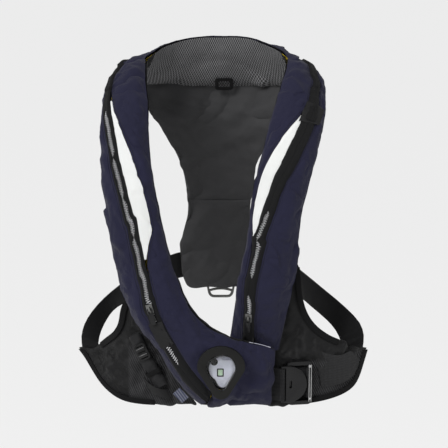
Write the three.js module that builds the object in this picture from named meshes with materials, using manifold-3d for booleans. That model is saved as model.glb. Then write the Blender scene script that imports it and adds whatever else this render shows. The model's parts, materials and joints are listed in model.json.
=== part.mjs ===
// Inflatable life jacket, standing open in the shape it takes on a wearer.
// Millimetres. +X to the wearer's left, +Y to the wearer's back, +Z up.
// The origin is the middle of the neck, level with the tops of the shoulders.
import * as THREE from "three";
import { mergeVertices } from "three/addons/utils/BufferGeometryUtils.js";
import Module from "manifold-3d";

const wasm = await Module();
wasm.setup();

// ---------------------------------------------------------------- driving sizes
const CLOTH = 2; // cover cloth with its seam allowance
const GAP = 0.3; // clearance between pieces that touch
const PAD_INSET = 5; // the folded bladder stays this far inside the cover
const WEBBING = 2.4; // thickness of every strap
const BELT_WIDTH = 47;
const TAPE_INSET = 1; // the zip tape lies this far below the cover's face
const TEETH_HEIGHT = 2.2;
const WINDOW_WIDTH = 67; // outside of the inspection window's frame
const WINDOW_HEIGHT = 76;
const WINDOW_RIM = 12.5;
const WINDOW_DEPTH = 6;
const LENS = 1.6;
const CYLINDER_RADIUS = 13;
const CYLINDER_LENGTH = 96;
const BUCKLE_WIDTH = 36;
const BUCKLE_HEIGHT = 64;
const BUCKLE_BAR = 5.5;
const BUCKLE_DEPTH = 4;
const RING_WIRE = 3.4;

// ---------------------------------------------------------------- materials
const finish = (color, roughness, metalness = 0, more = {}) =>
  new THREE.MeshStandardMaterial({ color, roughness, metalness, ...more });
const NAVY = finish(0x23233f, 0.85);
const WHITE = finish(0xeceeea, 0.8);
const BLACK_TAPE = finish(0x161618, 0.8);
const BLACK_CLOTH = finish(0x1a1a1b, 0.85);
const GREY_MESH = finish(0x4a4a4e, 0.9);
const CHARCOAL = finish(0x333436, 0.9);
const WEB = finish(0x101011, 0.75);
const RUBBER = finish(0x1b1b1a, 0.6);
const PLASTIC = finish(0x202022, 0.45);
const STEEL = finish(0x8f8f90, 0.35, 1);
const DARK_STEEL = finish(0x4b4b48, 0.4, 1);
const CLEAR = finish(0xdfe3e6, 0.08, 0, { transparent: true, opacity: 0.3 });
const LIGHT_PLASTIC = finish(0xd6d6dc, 0.4);
const YELLOW = finish(0xe8c21c, 0.6);

// ---------------------------------------------------------------- solids
const vec = (p) => new THREE.Vector3(...p);
const flat = (value) => () => value;

// A closed solid through rings of equal size. Ring point k faces point n-1-k, so flat ends close as strips.
function loft(rings) {
  const n = rings[0].length;
  const index = [];
  const at = (r, k) => r * n + (k % n);
  const quad = (a, b, c, d) => index.push(a, b, c, a, c, d);
  for (let r = 0; r + 1 < rings.length; r++)
    for (let k = 0; k < n; k++) quad(at(r, k), at(r, k + 1), at(r + 1, k + 1), at(r + 1, k));
  const last = rings.length - 1;
  for (let k = 0; k < n / 2 - 1; k++) {
    quad(at(0, k + 1), at(0, k), at(0, n - 1 - k), at(0, n - 2 - k));
    quad(at(last, k), at(last, k + 1), at(last, n - 2 - k), at(last, n - 1 - k));
  }
  const points = rings.flat().flatMap((p) => p.toArray());
  let volume = 0;
  for (let i = 0; i < index.length; i += 3) {
    const [a, b, c] = [0, 1, 2].map((j) => vec(points.slice(3 * index[i + j], 3 * index[i + j] + 3)));
    volume += a.dot(b.cross(c));
  }
  if (volume < 0) index.reverse();
  const geometry = new THREE.BufferGeometry();
  geometry.setAttribute("position", new THREE.Float32BufferAttribute(points, 3));
  geometry.setIndex(index);
  geometry.computeVertexNormals();
  return geometry;
}

function manifoldOf(geometry) {
  const bare = geometry.clone();
  bare.deleteAttribute("normal");
  bare.deleteAttribute("uv");
  const merged = mergeVertices(bare, 1e-3);
  return new wasm.Manifold(
    new wasm.Mesh({
      numProp: 3,
      vertProperties: new Float32Array(merged.attributes.position.array),
      triVerts: new Uint32Array(merged.index.array),
    }),
  );
}

function geometryOf(manifold) {
  const mesh = manifold.getMesh();
  const geometry = new THREE.BufferGeometry();
  geometry.setAttribute("position", new THREE.BufferAttribute(mesh.vertProperties, 3));
  geometry.setIndex(new THREE.BufferAttribute(mesh.triVerts, 1));
  return geometry;
}

const cut = (geometry, ...tools) =>
  geometryOf(tools.reduce((left, tool) => left.subtract(manifoldOf(tool)), manifoldOf(geometry)));
const join = (...geometries) =>
  geometryOf(geometries.map(manifoldOf).reduce((all, one) => all.add(one)));

// Two numbers per entry, [place, value]; the value between entries eases from one to the next.
function eased(entries) {
  return (place) => {
    if (place <= entries[0][0]) return entries[0][1];
    for (let k = 1; k < entries.length; k++)
      if (place <= entries[k][0]) {
        const [p0, v0] = entries[k - 1];
        const [p1, v1] = entries[k];
        const f = (place - p0) / (p1 - p0);
        return v0 + (v1 - v0) * f;
      }
    return entries[entries.length - 1][1];
  };
}

// ---------------------------------------------------------------- the horseshoe
// Ribs are [outer edge, inner edge, rise of the front face, rise of the back face].
// The right lobe counts from the shoulder down and round into the cross piece at the front.
const RIGHT_RIBS = [
  [[-131, 72, -55], [-88, 45, -6], 12, 8],
  [[-145, 30, -49], [-101, 22, -12], 16, 8],
  [[-156, -18, -63], [-100, -22, -32], 20, 8],
  [[-161, -58, -86], [-96, -58, -62], 23, 8],
  [[-161, -86, -122], [-94, -86, -108], 25, 8],
  [[-160, -97, -165], [-90, -101, -150], 26, 8],
  [[-153, -103, -210], [-80, -112, -200], 26, 8],
  [[-144, -108, -262], [-69, -120, -255], 26, 8],
  [[-133, -112, -318], [-54, -126, -300], 28, 10],
  [[-112, -116, -362], [-38, -130, -338], 30, 10],
  [[-82, -120, -402], [-14, -132, -362], 32, 10],
  [[-58, -124, -443], [10, -133, -376], 31, 10],
  [[-30, -126, -474], [30, -132, -383], 30, 9],
  [[-12, -127, -484], [44, -130, -388], 28, 8],
  [[10, -127, -478], [56, -128, -391], 24, 8],
  [[46, -126, -476], [68, -126, -395], 17, 7],
  [[72, -122, -482], [80, -122, -400], 8, 6],
];
const COLLAR_RIBS = [
  [[-110, 98, -62], [-76, 67, -1], 12, 12],
  [[-66, 119, -68], [-48, 88, 5], 12, 14],
  [[4, 127, -70], [0, 98, 8], 12, 15],
  [[66, 117, -68], [46, 91, 6], 12, 14],
  [[106, 96, -62], [72, 69, -1], 12, 12],
];
const LEFT_RIBS = [
  [[129, 68, -55], [89, 42, -5], 12, 8],
  [[141, 28, -50], [96, 20, -13], 16, 8],
  [[149, -14, -64], [90, -20, -32], 19, 8],
  [[150, -46, -82], [82, -50, -59], 21, 8],
  [[144, -72, -106], [70, -78, -98], 23, 8],
  [[136, -87, -137], [60, -95, -129], 25, 8],
  [[126, -97, -172], [51, -106, -168], 26, 8],
  [[114, -104, -222], [43, -114, -215], 26, 8],
  [[109, -109, -264], [36, -121, -258], 26, 8],
  [[105, -112, -307], [28, -124, -300], 25, 8],
  [[98, -111, -352], [23, -118, -345], 18, 8],
  [[91, -104, -405], [18, -105, -395], 10, 6],
];
const RIBS = [...RIGHT_RIBS.slice().reverse(), ...COLLAR_RIBS, ...LEFT_RIBS];
const onRight = (i) => 16 - i;
const onCollar = (i) => 16 + i;
const onLeft = (i) => 22 + i;
const OUTER_EDGE = new THREE.CatmullRomCurve3(RIBS.map((r) => vec(r[0])));
const INNER_EDGE = new THREE.CatmullRomCurve3(RIBS.map((r) => vec(r[1])));
const frontRise = eased(RIBS.map((r, k) => [k, r[2]]));
const backRise = eased(RIBS.map((r, k) => [k, r[3]]));
// The cross piece, ribs 0 to 6 of the whole, is boxier than the lobes.
const boxiness = eased([[0, 3.2], [3, 6.5], [5, 5.5], [8, 2.4]]);

function edges(p) {
  const f = THREE.MathUtils.clamp(p / (RIBS.length - 1), 0, 1);
  return [OUTER_EDGE.getPoint(f), INNER_EDGE.getPoint(f)];
}

function outward(p) {
  const [o0, n0] = edges(p - 0.05);
  const [o1, n1] = edges(p + 0.05);
  const [o, n] = edges(p);
  return n.sub(o).cross(o1.add(n1).sub(o0).sub(n0)).normalize();
}

// The place p along and the share u across, on the front or back face, inset inside it, then lifted off it.
function onBand(p, u, face = "front", inset = 0, lift = 0) {
  const [o, n] = edges(p);
  const across = n.clone().sub(o);
  const width = across.length();
  const bow = Math.sqrt(Math.max(0, 1 - Math.abs(2 * u - 1) ** boxiness(p)));
  const rise = face === "front" ? frontRise(p) : -backRise(p);
  const height = Math.sign(rise) * Math.max(0.2, Math.abs(rise) - inset) * bow;
  return o
    .addScaledVector(across.normalize(), inset + u * (width - 2 * inset))
    .addScaledVector(outward(p), height + lift);
}

function widthAt(p) {
  const [o, n] = edges(p);
  return o.distanceTo(n);
}

const evenly = (count) => Array.from({ length: count + 1 }, (_, k) => k / count);

// Every multiple of the spacing between two places, with the places themselves.
function stations(from, to, spacing) {
  const inside = [];
  for (let k = Math.ceil(from / spacing); k * spacing < to - 1e-6; k++)
    if (k * spacing > from + 1e-6) inside.push(k * spacing);
  return [from, ...inside, to];
}

// A cloth panel on the horseshoe's face, between two lines that run along it.
function panel({
  on,
  from,
  to,
  low,
  high,
  spacing,
  shares,
  face = "front",
  inset = 0,
  skin = CLOTH,
  lift = flat(0),
}) {
  const back = face === "back" ? -0.4 : 0;
  const rings = stations(from, to, spacing).map((i) => {
    const seam = GAP / widthAt(on(i));
    const u0 = low(i) + seam;
    const u1 = Math.max(high(i) - seam, u0 + 1.2 / widthAt(on(i)));
    const outside = shares.map((s) => onBand(on(i), u0 + (u1 - u0) * s, face, inset, lift(s) + back));
    const inside = shares.map((s) => onBand(on(i), u0 + (u1 - u0) * s, face, inset + skin, back));
    return [...outside, ...inside.reverse()];
  });
  return loft(rings);
}

// A flat strap between two edge curves, its thickness shared equally either side.
function strap(top, bottom, thickness, steps) {
  const a = new THREE.CatmullRomCurve3(top.map(vec));
  const b = new THREE.CatmullRomCurve3(bottom.map(vec));
  const rings = evenly(steps).map((f) => {
    const p = a.getPoint(f);
    const q = b.getPoint(f);
    const forward = a.getTangent(f).add(b.getTangent(f));
    const out = forward.cross(p.clone().sub(q)).setLength(thickness / 2);
    return [p.clone().add(out), q.clone().add(out), q.clone().sub(out), p.clone().sub(out)];
  });
  return loft(rings);
}

// A sheet between two edge curves. Its middle hangs back towards +Y, and a little down, by the sag.
// The result gives the point at share f along, share s from the first edge, height h off the front.
// Before the steady share the front keeps the direction that it has there.
function sheet(top, bottom, sag, steady = 0) {
  const a = new THREE.CatmullRomCurve3(top.map(vec));
  const b = new THREE.CatmullRomCurve3(bottom.map(vec));
  const facing = (f) =>
    a.getTangent(f).add(b.getTangent(f)).cross(a.getPoint(f).sub(b.getPoint(f))).normalize();
  const front = facing(0.5).y > 0 ? -1 : 1;
  return (f, s, h) => {
    const hollow = new THREE.Vector3(0, 1, -0.2).multiplyScalar(sag(f) * 4 * s * (1 - s));
    const flatPoint = a.getPoint(f).lerp(b.getPoint(f), s).add(hollow);
    return flatPoint.addScaledVector(facing(Math.max(f, steady)), front * h);
  };
}

// The sheet as a quilted solid, full thickness in its middle and thin at its edges.
function quilt(at, thickness, steps, across) {
  const puff = (s) => (thickness / 2) * (0.35 + 0.65 * Math.sqrt(Math.max(0, 1 - (2 * s - 1) ** 4)));
  const row = (f, side) => evenly(across).map((s) => at(f, s, side * puff(s)));
  return loft(evenly(steps).map((f) => [...row(f, 1), ...row(f, -1).reverse()]));
}

// A flat strip laid on a sheet, between two shares of it, from height low to height high.
function laid(at, from, to, edge0, edge1, low, high, steps, across) {
  const rings = evenly(steps).map((k) => {
    const f = from + (to - from) * k;
    const row = (h) => evenly(across).map((s) => at(f, edge0(f) + (edge1(f) - edge0(f)) * s, h));
    return [...row(high), ...row(low).reverse()];
  });
  return loft(rings);
}

// A flat band along a sheet's first edge, square to that edge, from height low to height high.
function edging(at, from, to, width, low, high, steps) {
  let before = at(0.6, 0.6, 0).sub(at(from, 0, 0));
  const rings = evenly(steps).map((k) => {
    const f = from + (to - from) * k;
    const edge = at(f, 0, 0);
    const out = at(f, 0.5, 1).sub(at(f, 0.5, 0)).normalize();
    const inwards = at(f + 0.01, 0, 0).sub(at(f - 0.01, 0, 0)).cross(out).normalize();
    if (inwards.dot(before) < 0) inwards.negate();
    before = inwards;
    const corner = (w, h) => edge.clone().addScaledVector(inwards, w).addScaledVector(out, h);
    return [corner(0, high), corner(width, high), corner(width, low), corner(0, low)];
  });
  return loft(rings);
}

// ---------------------------------------------------------------- simple bodies
const box = (x, y, z) => new THREE.BoxGeometry(x, y, z);
const along = (axis, length, radius, sides = 16) => {
  const geometry = new THREE.CylinderGeometry(radius, radius, length, sides);
  if (axis === "x") geometry.rotateZ(Math.PI / 2);
  if (axis === "z") geometry.rotateX(Math.PI / 2);
  return geometry;
};
const extrude = (shape, depth, curveSegments = 5) =>
  new THREE.ExtrudeGeometry(shape, { depth, bevelEnabled: false, curveSegments });

function rounded(width, height, radius, hole) {
  const [w, h, r] = [width / 2, height / 2, radius];
  const path = hole ? new THREE.Path() : new THREE.Shape();
  path.moveTo(-w + r, -h);
  path.lineTo(w - r, -h);
  path.absarc(w - r, -h + r, r, -Math.PI / 2, 0, false);
  path.lineTo(w, h - r);
  path.absarc(w - r, h - r, r, 0, Math.PI / 2, false);
  path.lineTo(-w + r, h);
  path.absarc(-w + r, h - r, r, Math.PI / 2, Math.PI, false);
  path.lineTo(-w, -h + r);
  path.absarc(-w + r, -h + r, r, Math.PI, 1.5 * Math.PI, false);
  return path;
}

// A round bar bent along a smooth path.
function bent(points, radius, steps, sides = 8) {
  const round = new THREE.Shape().absarc(0, 0, radius, 0, 2 * Math.PI, false);
  return new THREE.ExtrudeGeometry(round, {
    extrudePath: new THREE.CatmullRomCurve3(points.map(vec)),
    steps,
    curveSegments: sides / 2,
    bevelEnabled: false,
  });
}

const jacket = new THREE.Group();
jacket.name = "life_jacket";

function add(name, geometry, material, parent = jacket) {
  const mesh = new THREE.Mesh(geometry, material);
  mesh.name = name;
  parent.add(mesh);
  return mesh;
}

// ---------------------------------------------------------------- cover panels
// Where the zip and the white wedge run: share of the way from the outer to the inner edge, by rib.
const ZIP = {
  right: {
    low: eased([[0, 0.36], [1, 0.3], [2, 0.14], [3, 0.07], [4, 0.17], [5, 0.28], [6, 0.37], [7, 0.41],
      [8, 0.42], [9, 0.33], [10, 0.22], [11, 0.19], [12, 0.15], [13, 0.1]]),
    high: eased([[0, 0.52], [1, 0.46], [2, 0.31], [3, 0.26], [4, 0.36], [5, 0.47], [6, 0.56], [7, 0.59],
      [8, 0.6], [9, 0.54], [10, 0.43], [11, 0.36], [12, 0.3], [13, 0.24]]),
  },
  left: {
    low: eased([[0, 0.42], [1, 0.4], [2, 0.27], [3, 0.16], [4, 0.2], [5, 0.34], [6, 0.52], [7, 0.62],
      [8, 0.7], [9, 0.71], [10, 0.65], [11, 0.55]]),
    high: eased([[0, 0.56], [1, 0.54], [2, 0.44], [3, 0.4], [4, 0.47], [5, 0.6], [6, 0.74], [7, 0.84],
      [8, 0.9], [9, 0.9], [10, 0.84], [11, 0.76]]),
  },
};
const WEDGE = {
  right: {
    from: 2.8,
    to: 7.2,
    edge: eased([
      [2.8, 0.31], [3.2, 0.345], [3.6, 0.45], [4.4, 0.65],
      [5.6, 0.83], [6.4, 0.855], [6.8, 0.72], [7.2, 0.63],
    ]),
  },
  left: {
    from: 3.5,
    to: 7.5,
    edge: eased([
      [3.5, 0.48], [4, 0.64], [4.5, 0.77], [5, 0.86], [5.5, 0.93], [6, 0.96], [7, 0.97], [7.5, 0.91],
    ]),
  },
};
const SEAM = 0.01; // share of a rib left open where two panels meet end to end
const TEETH_SHARES = [0, 0.36, 0.4, 0.6, 0.64, 1];
const teeth = (share) => (Math.abs(share - 0.5) < 0.13 ? TEETH_HEIGHT : 0);
const tape = { inset: TAPE_INSET, skin: 1.5, shares: TEETH_SHARES, lift: teeth };

// The share where the inner panel starts: past the zip, and past the white wedge where there is one.
const innerStart = (side, i) => {
  const { from, to, edge } = WEDGE[side];
  return i > from - SEAM && i < to + SEAM ? edge(i) : ZIP[side].high(i);
};

const RIGHT_SPACING = 0.4; // ribs between one ring of a panel and the next
const LEFT_SPACING = 0.5;
const ZIP_END = 12.4; // the right lobe's zip stops at the foot of the jacket
const innerRight = panel({
  on: onRight,
  from: SEAM,
  to: 16,
  low: (i) => (i > ZIP_END + 0.1 ? 0 : innerStart("right", i)),
  high: flat(1),
  spacing: RIGHT_SPACING,
  shares: evenly(5),
});
const innerLeft = panel({
  on: onLeft,
  from: SEAM,
  to: 11,
  low: (i) => innerStart("left", i),
  high: flat(1),
  spacing: LEFT_SPACING,
  shares: evenly(4),
});
const LOBES = [
  { side: "right", on: onRight, end: ZIP_END - 0.04, last: 16, spacing: RIGHT_SPACING },
  { side: "left", on: onLeft, end: 11, last: 11, spacing: LEFT_SPACING },
];
const linings = {};
for (const { side, on, end, last, spacing } of LOBES) {
  const zip = ZIP[side];
  const wedge = WEDGE[side];
  const whole = { on, spacing, from: SEAM, to: end };
  const backFace = { on, spacing: 0.6, from: SEAM, to: last, low: flat(0), high: flat(1), face: "back" };
  add(`${side}_outer_panel`, panel({ ...whole, low: flat(0), high: zip.low, shares: evenly(3) }), NAVY);
  add(`${side}_zip_tape`, panel({ ...whole, low: zip.low, high: zip.high, ...tape }), BLACK_TAPE);
  linings[side] = panel({ ...backFace, shares: evenly(4) });
  const white = { ...whole, from: wedge.from, to: wedge.to, low: zip.high, high: wedge.edge };
  add(`${side}_white_panel`, panel({ ...white, shares: evenly(2) }), WHITE);
}
const collar = { on: onCollar, from: SEAM, to: 6 - SEAM, spacing: 0.4 };
const collarLow = eased([[0, 0.36], [6, 0.42]]);
const collarHigh = eased([[0, 0.52], [6, 0.56]]);
add("collar_lower_panel", panel({ ...collar, low: flat(0), high: collarLow, shares: evenly(2) }), NAVY);
add("collar_zip_tape", panel({ ...collar, low: collarLow, high: collarHigh, ...tape }), BLACK_TAPE);
add("collar_upper_panel", panel({ ...collar, low: collarHigh, high: flat(1), shares: evenly(3) }), NAVY);
const collarBack = { ...collar, low: flat(0), high: flat(1), face: "back", skin: 3 };
add("collar_mesh", panel({ ...collarBack, shares: evenly(6) }), GREY_MESH);
add("left_inner_panel", innerLeft, NAVY);
add("left_lining", linings.left, BLACK_CLOTH);

// ---------------------------------------------------------------- inspection window
// A plectrum outline: two straight lower sides meet at the foot, and an arc runs over the top.
function plectrum(width, height, hole) {
  const w = width / 2;
  const top = height * 0.48;
  const foot = 0.13 * height;
  const shape = hole ? new THREE.Path() : new THREE.Shape();
  shape.moveTo(-foot, -height * 0.46);
  shape.quadraticCurveTo(0, -height * 0.58, foot, -height * 0.46);
  shape.lineTo(w * 0.97, height * 0.02);
  shape.bezierCurveTo(w * 1.1, top * 0.5, w * 0.62, top, 0, top);
  shape.bezierCurveTo(-w * 0.62, top, -w * 1.1, top * 0.5, -w * 0.97, height * 0.02);
  return shape;
}

// The window faces forward; local x runs to the wearer's left, y up and z out of the jacket.
const windowSeat = new THREE.Group();
windowSeat.position.set(5, -162.5, -419);
windowSeat.rotation.set(Math.PI / 2 - 0.04, 0, 0);
jacket.add(windowSeat);
const rimmed = plectrum(WINDOW_WIDTH, WINDOW_HEIGHT);
rimmed.holes.push(plectrum(WINDOW_WIDTH - 2 * WINDOW_RIM, WINDOW_HEIGHT - 2 * WINDOW_RIM, true));
const lensOutline = plectrum(WINDOW_WIDTH - 2 * WINDOW_RIM + 6, WINDOW_HEIGHT - 2 * WINDOW_RIM + 6);
const slotOutline = plectrum(WINDOW_WIDTH - 2 * WINDOW_RIM + 7, WINDOW_HEIGHT - 2 * WINDOW_RIM + 7);
const lensSlot = extrude(slotOutline, LENS + 2, 8);
lensSlot.translate(0, 0, -2 + 2 * GAP);
add("window_frame", cut(extrude(rimmed, WINDOW_DEPTH, 8), lensSlot), RUBBER, windowSeat);
add("window_lens", extrude(lensOutline, LENS, 8), CLEAR, windowSeat);
windowSeat.updateMatrixWorld(true);
const windowHole = extrude(plectrum(WINDOW_WIDTH - 14, WINDOW_HEIGHT - 14), 60, 8);
windowHole.translate(0, 0, -25).applyMatrix4(windowSeat.matrixWorld);
add("right_inner_panel", cut(innerRight, windowHole), NAVY);

// ---------------------------------------------------------------- inflator, behind the window
// The inside of the horseshoe: share u across, height h off the surface through its two edges.
function within(p, u, h) {
  const [o, n] = edges(p);
  return o.lerp(n, u).addScaledVector(outward(p), h);
}

// Move a body modelled on the y axis, centred, so it runs from one point to another.
function between(geometry, from, to) {
  const turn = new THREE.Quaternion().setFromUnitVectors(vec([0, 1, 0]), to.clone().sub(from).normalize());
  return geometry.applyQuaternion(turn).translate(...from.clone().lerp(to, 0.5).toArray());
}

const toSeat = windowSeat.matrixWorld.clone().invert();
const bottleFoot = within(onRight(11.1), 0.47, 13.5);
const bottleEnd = within(onRight(8.5), 0.5, 11.5);
const bottleAxis = bottleEnd.clone().sub(bottleFoot).normalize();
const bottleTip = bottleFoot.clone().addScaledVector(bottleAxis, CYLINDER_LENGTH);
const bottleProfile = [
  [0, 0],
  [4.6, 0],
  [4.6, 9],
  [6.5, 12],
  [CYLINDER_RADIUS, 22],
  [CYLINDER_RADIUS, CYLINDER_LENGTH - 10],
  [CYLINDER_RADIUS - 4, CYLINDER_LENGTH - 2],
  [0, CYLINDER_LENGTH],
].map(([r, y]) => new THREE.Vector2(r, y - CYLINDER_LENGTH / 2));
add("co2_cylinder", between(new THREE.LatheGeometry(bottleProfile, 20), bottleFoot, bottleTip), STEEL);

const BODY_FRONT = -18; // front of the inflator's body, behind the lens
const BODY_DEPTH = 9.5;
const CAP_RADIUS = 17;
const LEVER_PIVOT = [12, -17];
const LEVER = { length: 11, width: 8, thick: 3, pin: 1.6 };
const block = extrude(rounded(46, 42, 6), BODY_DEPTH).translate(0, -1, BODY_FRONT - BODY_DEPTH);
const pin = along("z", 8, LEVER.pin, 12).translate(...LEVER_PIVOT, BODY_FRONT + 1);
const socketOuter = bottleFoot.clone().addScaledVector(bottleAxis, 7.5).applyMatrix4(toSeat);
const socketInner = bottleFoot.clone().addScaledVector(bottleAxis, -9).applyMatrix4(toSeat);
const socket = between(new THREE.CylinderGeometry(8, 8, 16.5, 16), socketInner, socketOuter);
const neckTop = bottleFoot.clone().addScaledVector(bottleAxis, 20).applyMatrix4(toSeat);
const neckFoot = bottleFoot.clone().addScaledVector(bottleAxis, -0.6).applyMatrix4(toSeat);
const neckHole = between(new THREE.CylinderGeometry(5.1, 5.1, 20.6, 16), neckFoot, neckTop);
add("inflator_body", cut(join(block, pin, socket), neckHole), PLASTIC, windowSeat);
const CAP_DEPTH = 14.5;
const cap = along("z", CAP_DEPTH, CAP_RADIUS, 28).translate(0, 2, BODY_FRONT + GAP + CAP_DEPTH / 2);
const capFront = BODY_FRONT + GAP + CAP_DEPTH;
const recess = box(7, 9, 4).translate(-1, -3, capFront);
add("inflator_cap", cut(cap, recess), LIGHT_PLASTIC, windowSeat);
const indicator = box(6.4, 8.4, 1.6).translate(-1, -3, capFront - 0.9);
add("status_indicator", indicator, finish(0xb9d3b4, 0.4), windowSeat);

// The manual lever swings about its pin when the toggle below is pulled.
const leverShape = new THREE.Shape();
leverShape.absarc(0, 0, LEVER.width / 2, Math.PI / 2, 1.5 * Math.PI, false);
leverShape.lineTo(LEVER.length - 2, -LEVER.width / 4);
leverShape.absarc(LEVER.length, 0, 2.6, -Math.PI / 2, Math.PI / 2, false);
leverShape.lineTo(0, LEVER.width / 2);
leverShape.holes.push(new THREE.Path().absarc(0, 0, LEVER.pin + 0.35, 0, 2 * Math.PI, true));
const leverMesh = add("inflator_lever", extrude(leverShape, LEVER.thick), YELLOW, windowSeat);
leverMesh.position.set(...LEVER_PIVOT, BODY_FRONT + GAP);

const TOGGLE = [34, -111.6, -464];
add("pull_toggle", box(12, 4.4, 22).translate(...TOGGLE), YELLOW);
const cordPath = [
  [29, -143, -440],
  [31, -140, -443],
  [34, -133, -446],
  [34, -120, -449],
  [34, -113, -451],
];
add("pull_cord", bent(cordPath, 1.1, 8, 6), BLACK_CLOTH);
const cordDrill = new THREE.CylinderGeometry(3.5, 3.5, 26, 12);
const cordHole = between(cordDrill, vec([34.6, -133, -445.6]), vec([34, -107, -452]));
add("right_lining", cut(linings.right, cordHole), BLACK_CLOTH);

// ---------------------------------------------------------------- oral tube and whistle, in the left lobe
const tubeLine = (h) => [4.4, 5, 5.6, 6.2].map((i) => within(onLeft(i), 0.4, h).toArray());
const tubeEnd = within(onLeft(6.2), 0.4, 13.5);
const tubeAxis = tubeEnd.clone().sub(within(onLeft(5.6), 0.4, 13.5)).normalize();
const beyond = (d) => tubeEnd.clone().addScaledVector(tubeAxis, d);
const CAP_STROKE = 14;
const lift = outward(onLeft(6.2)).multiplyScalar(6);
const capBore = between(new THREE.CylinderGeometry(6.3, 6.3, 13.6, 16), beyond(-12), beyond(1.6));
add("oral_tube", bent(tubeLine(13.5), 5.5, 10, 12), RUBBER);
const capOutside = between(new THREE.CylinderGeometry(7.5, 7.5, 14.6, 18), beyond(-11), beyond(3.6));
add("oral_cap", cut(capOutside, capBore), YELLOW);
const whistleAt = [within(onLeft(7.5), 0.4, 13), within(onLeft(8.5), 0.4, 13)];
const whistle = between(extrude(rounded(14, 40, 5), 8).translate(0, 0, -4), ...whistleAt);
add("whistle", whistle, YELLOW);
const whistleRoom = (d) =>
  between(box(17, 46, 11), ...whistleAt.map((p) => p.clone().addScaledVector(outward(onLeft(8)), d)));
const capRoom = (d) =>
  between(new THREE.CylinderGeometry(8.4, 8.4, 18 + CAP_STROKE, 16), beyond(-13), beyond(5 + CAP_STROKE))
    .translate(...lift.clone().multiplyScalar(d / 6).toArray());

// ---------------------------------------------------------------- bladder
// It fills both lobes and the collar, and runs thin behind the inflator in the cross piece.
const fill = eased([[0, 0.1], [7, 0.07], [8.2, 0.6], [9, 1], [33, 1]]);
const BLADDER_SHARES = [0.03, 0.25, 0.75, 0.97];
const padInset = eased([[0, PAD_INSET], [12, PAD_INSET], [15, 6], [23, 6], [26, PAD_INSET], [33, PAD_INSET]]);
const bladderRings = stations(2.2, onLeft(10.6), 0.75).map((p) => {
  const face = (s, name) => onBand(p, s, name, padInset(p));
  const row = (share) => BLADDER_SHARES.map((s) => face(s, "back").lerp(face(s, "front"), share));
  return [...row(fill(p)), ...row(0).reverse()];
});
const bladderCuts = [
  bent(tubeLine(13.5), 6.5, 6, 8),
  bent(tubeLine(19.5), 6.5, 6, 8),
  capRoom(0),
  capRoom(6),
  whistleRoom(0),
  whistleRoom(7),
  between(new THREE.CylinderGeometry(CYLINDER_RADIUS + 1, CYLINDER_RADIUS + 1, CYLINDER_LENGTH + 4, 20),
    bottleFoot.clone().addScaledVector(bottleAxis, -1), bottleTip.clone().addScaledVector(bottleAxis, 3)),
];
add("bladder", cut(loft(bladderRings), ...bladderCuts), finish(0xd9c21f, 0.6));

// ---------------------------------------------------------------- zip sliders, pulls and garages
const SLIDER = { width: 9, length: 13, height: 6, channel: 6.4, roof: 3.2 };
const LUG = { width: 2.4, length: 6.4, height: 3.8 };
const PULL = { width: 7, length: 24, thick: 1.4, bar: 1.6 };

function sliderBody() {
  const whole = box(SLIDER.width, SLIDER.length, SLIDER.height).translate(0, 0, 0.5 + SLIDER.height / 2);
  const channel = box(SLIDER.channel, 20, SLIDER.roof + 1).translate(0, 0, (SLIDER.roof + 1) / 2 - 0.2);
  const lug = box(LUG.width, LUG.length, LUG.height + 1).translate(0, 1, SLIDER.height + LUG.height / 2);
  const eye = box(6, 3, 2.6).translate(0, 1, SLIDER.height + 0.5 + 1.5);
  return cut(join(whole, lug), channel, eye);
}

function pullTab() {
  const outline = rounded(PULL.width, PULL.length, 2);
  const rise = PULL.length / 2 - PULL.bar - 3;
  const hole = rounded(3.4, 6, 0.8, true).getPoints(4).map((p) => p.setY(p.y + rise));
  outline.holes.push(new THREE.Path(hole));
  const tab = extrude(outline, PULL.thick, 4);
  return tab.translate(0, -PULL.length / 2 + PULL.bar / 2, -PULL.thick / 2);
}

// Local y runs up the zip towards the shoulder, z out of the jacket.
function onZip(side, on, i) {
  const seat = new THREE.Group();
  const centre = (k) => (ZIP[side].low(k) + ZIP[side].high(k)) / 2;
  const here = onBand(on(i), centre(i), "front", TAPE_INSET);
  const up = onBand(on(i - 0.2), centre(i - 0.2), "front", TAPE_INSET)
    .sub(onBand(on(i + 0.2), centre(i + 0.2), "front", TAPE_INSET))
    .normalize();
  const aside = onBand(on(i), centre(i) + 0.04, "front", TAPE_INSET).sub(here);
  const out = aside.clone().cross(up).normalize();
  if (out.y > 0) out.negate();
  seat.matrix.makeBasis(up.clone().cross(out).normalize(), up, out).setPosition(here);
  seat.matrix.decompose(seat.position, seat.quaternion, seat.scale);
  jacket.add(seat);
  return seat;
}

for (const [side, on, i] of [["right", onRight, 8.55], ["left", onLeft, 10.0]]) {
  const seat = onZip(side, on, i);
  add(`${side}_zip_slider`, sliderBody(), DARK_STEEL, seat);
  const tab = add(`${side}_zip_pull`, pullTab(), BLACK_TAPE, seat);
  tab.position.set(0, 1, SLIDER.height + 0.5 + 1.5);
}

// A square of cloth over the zip, closed by hook and loop.
const garage = (on, side, from, to, spread) =>
  panel({
    on,
    from,
    to,
    low: (i) => Math.max(0.02, ZIP[side].low(i) - spread),
    high: (i) => ZIP[side].high(i) + spread,
    spacing: 0.2,
    shares: evenly(4),
    inset: -3.4,
    skin: 1.4,
  });
add("right_zip_garage", garage(onRight, "right", 9.0, 9.85, 0.015), BLACK_CLOTH);
add("left_zip_garage", garage(onLeft, "left", 3.1, 3.8, 0.06), BLACK_CLOTH);

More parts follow.
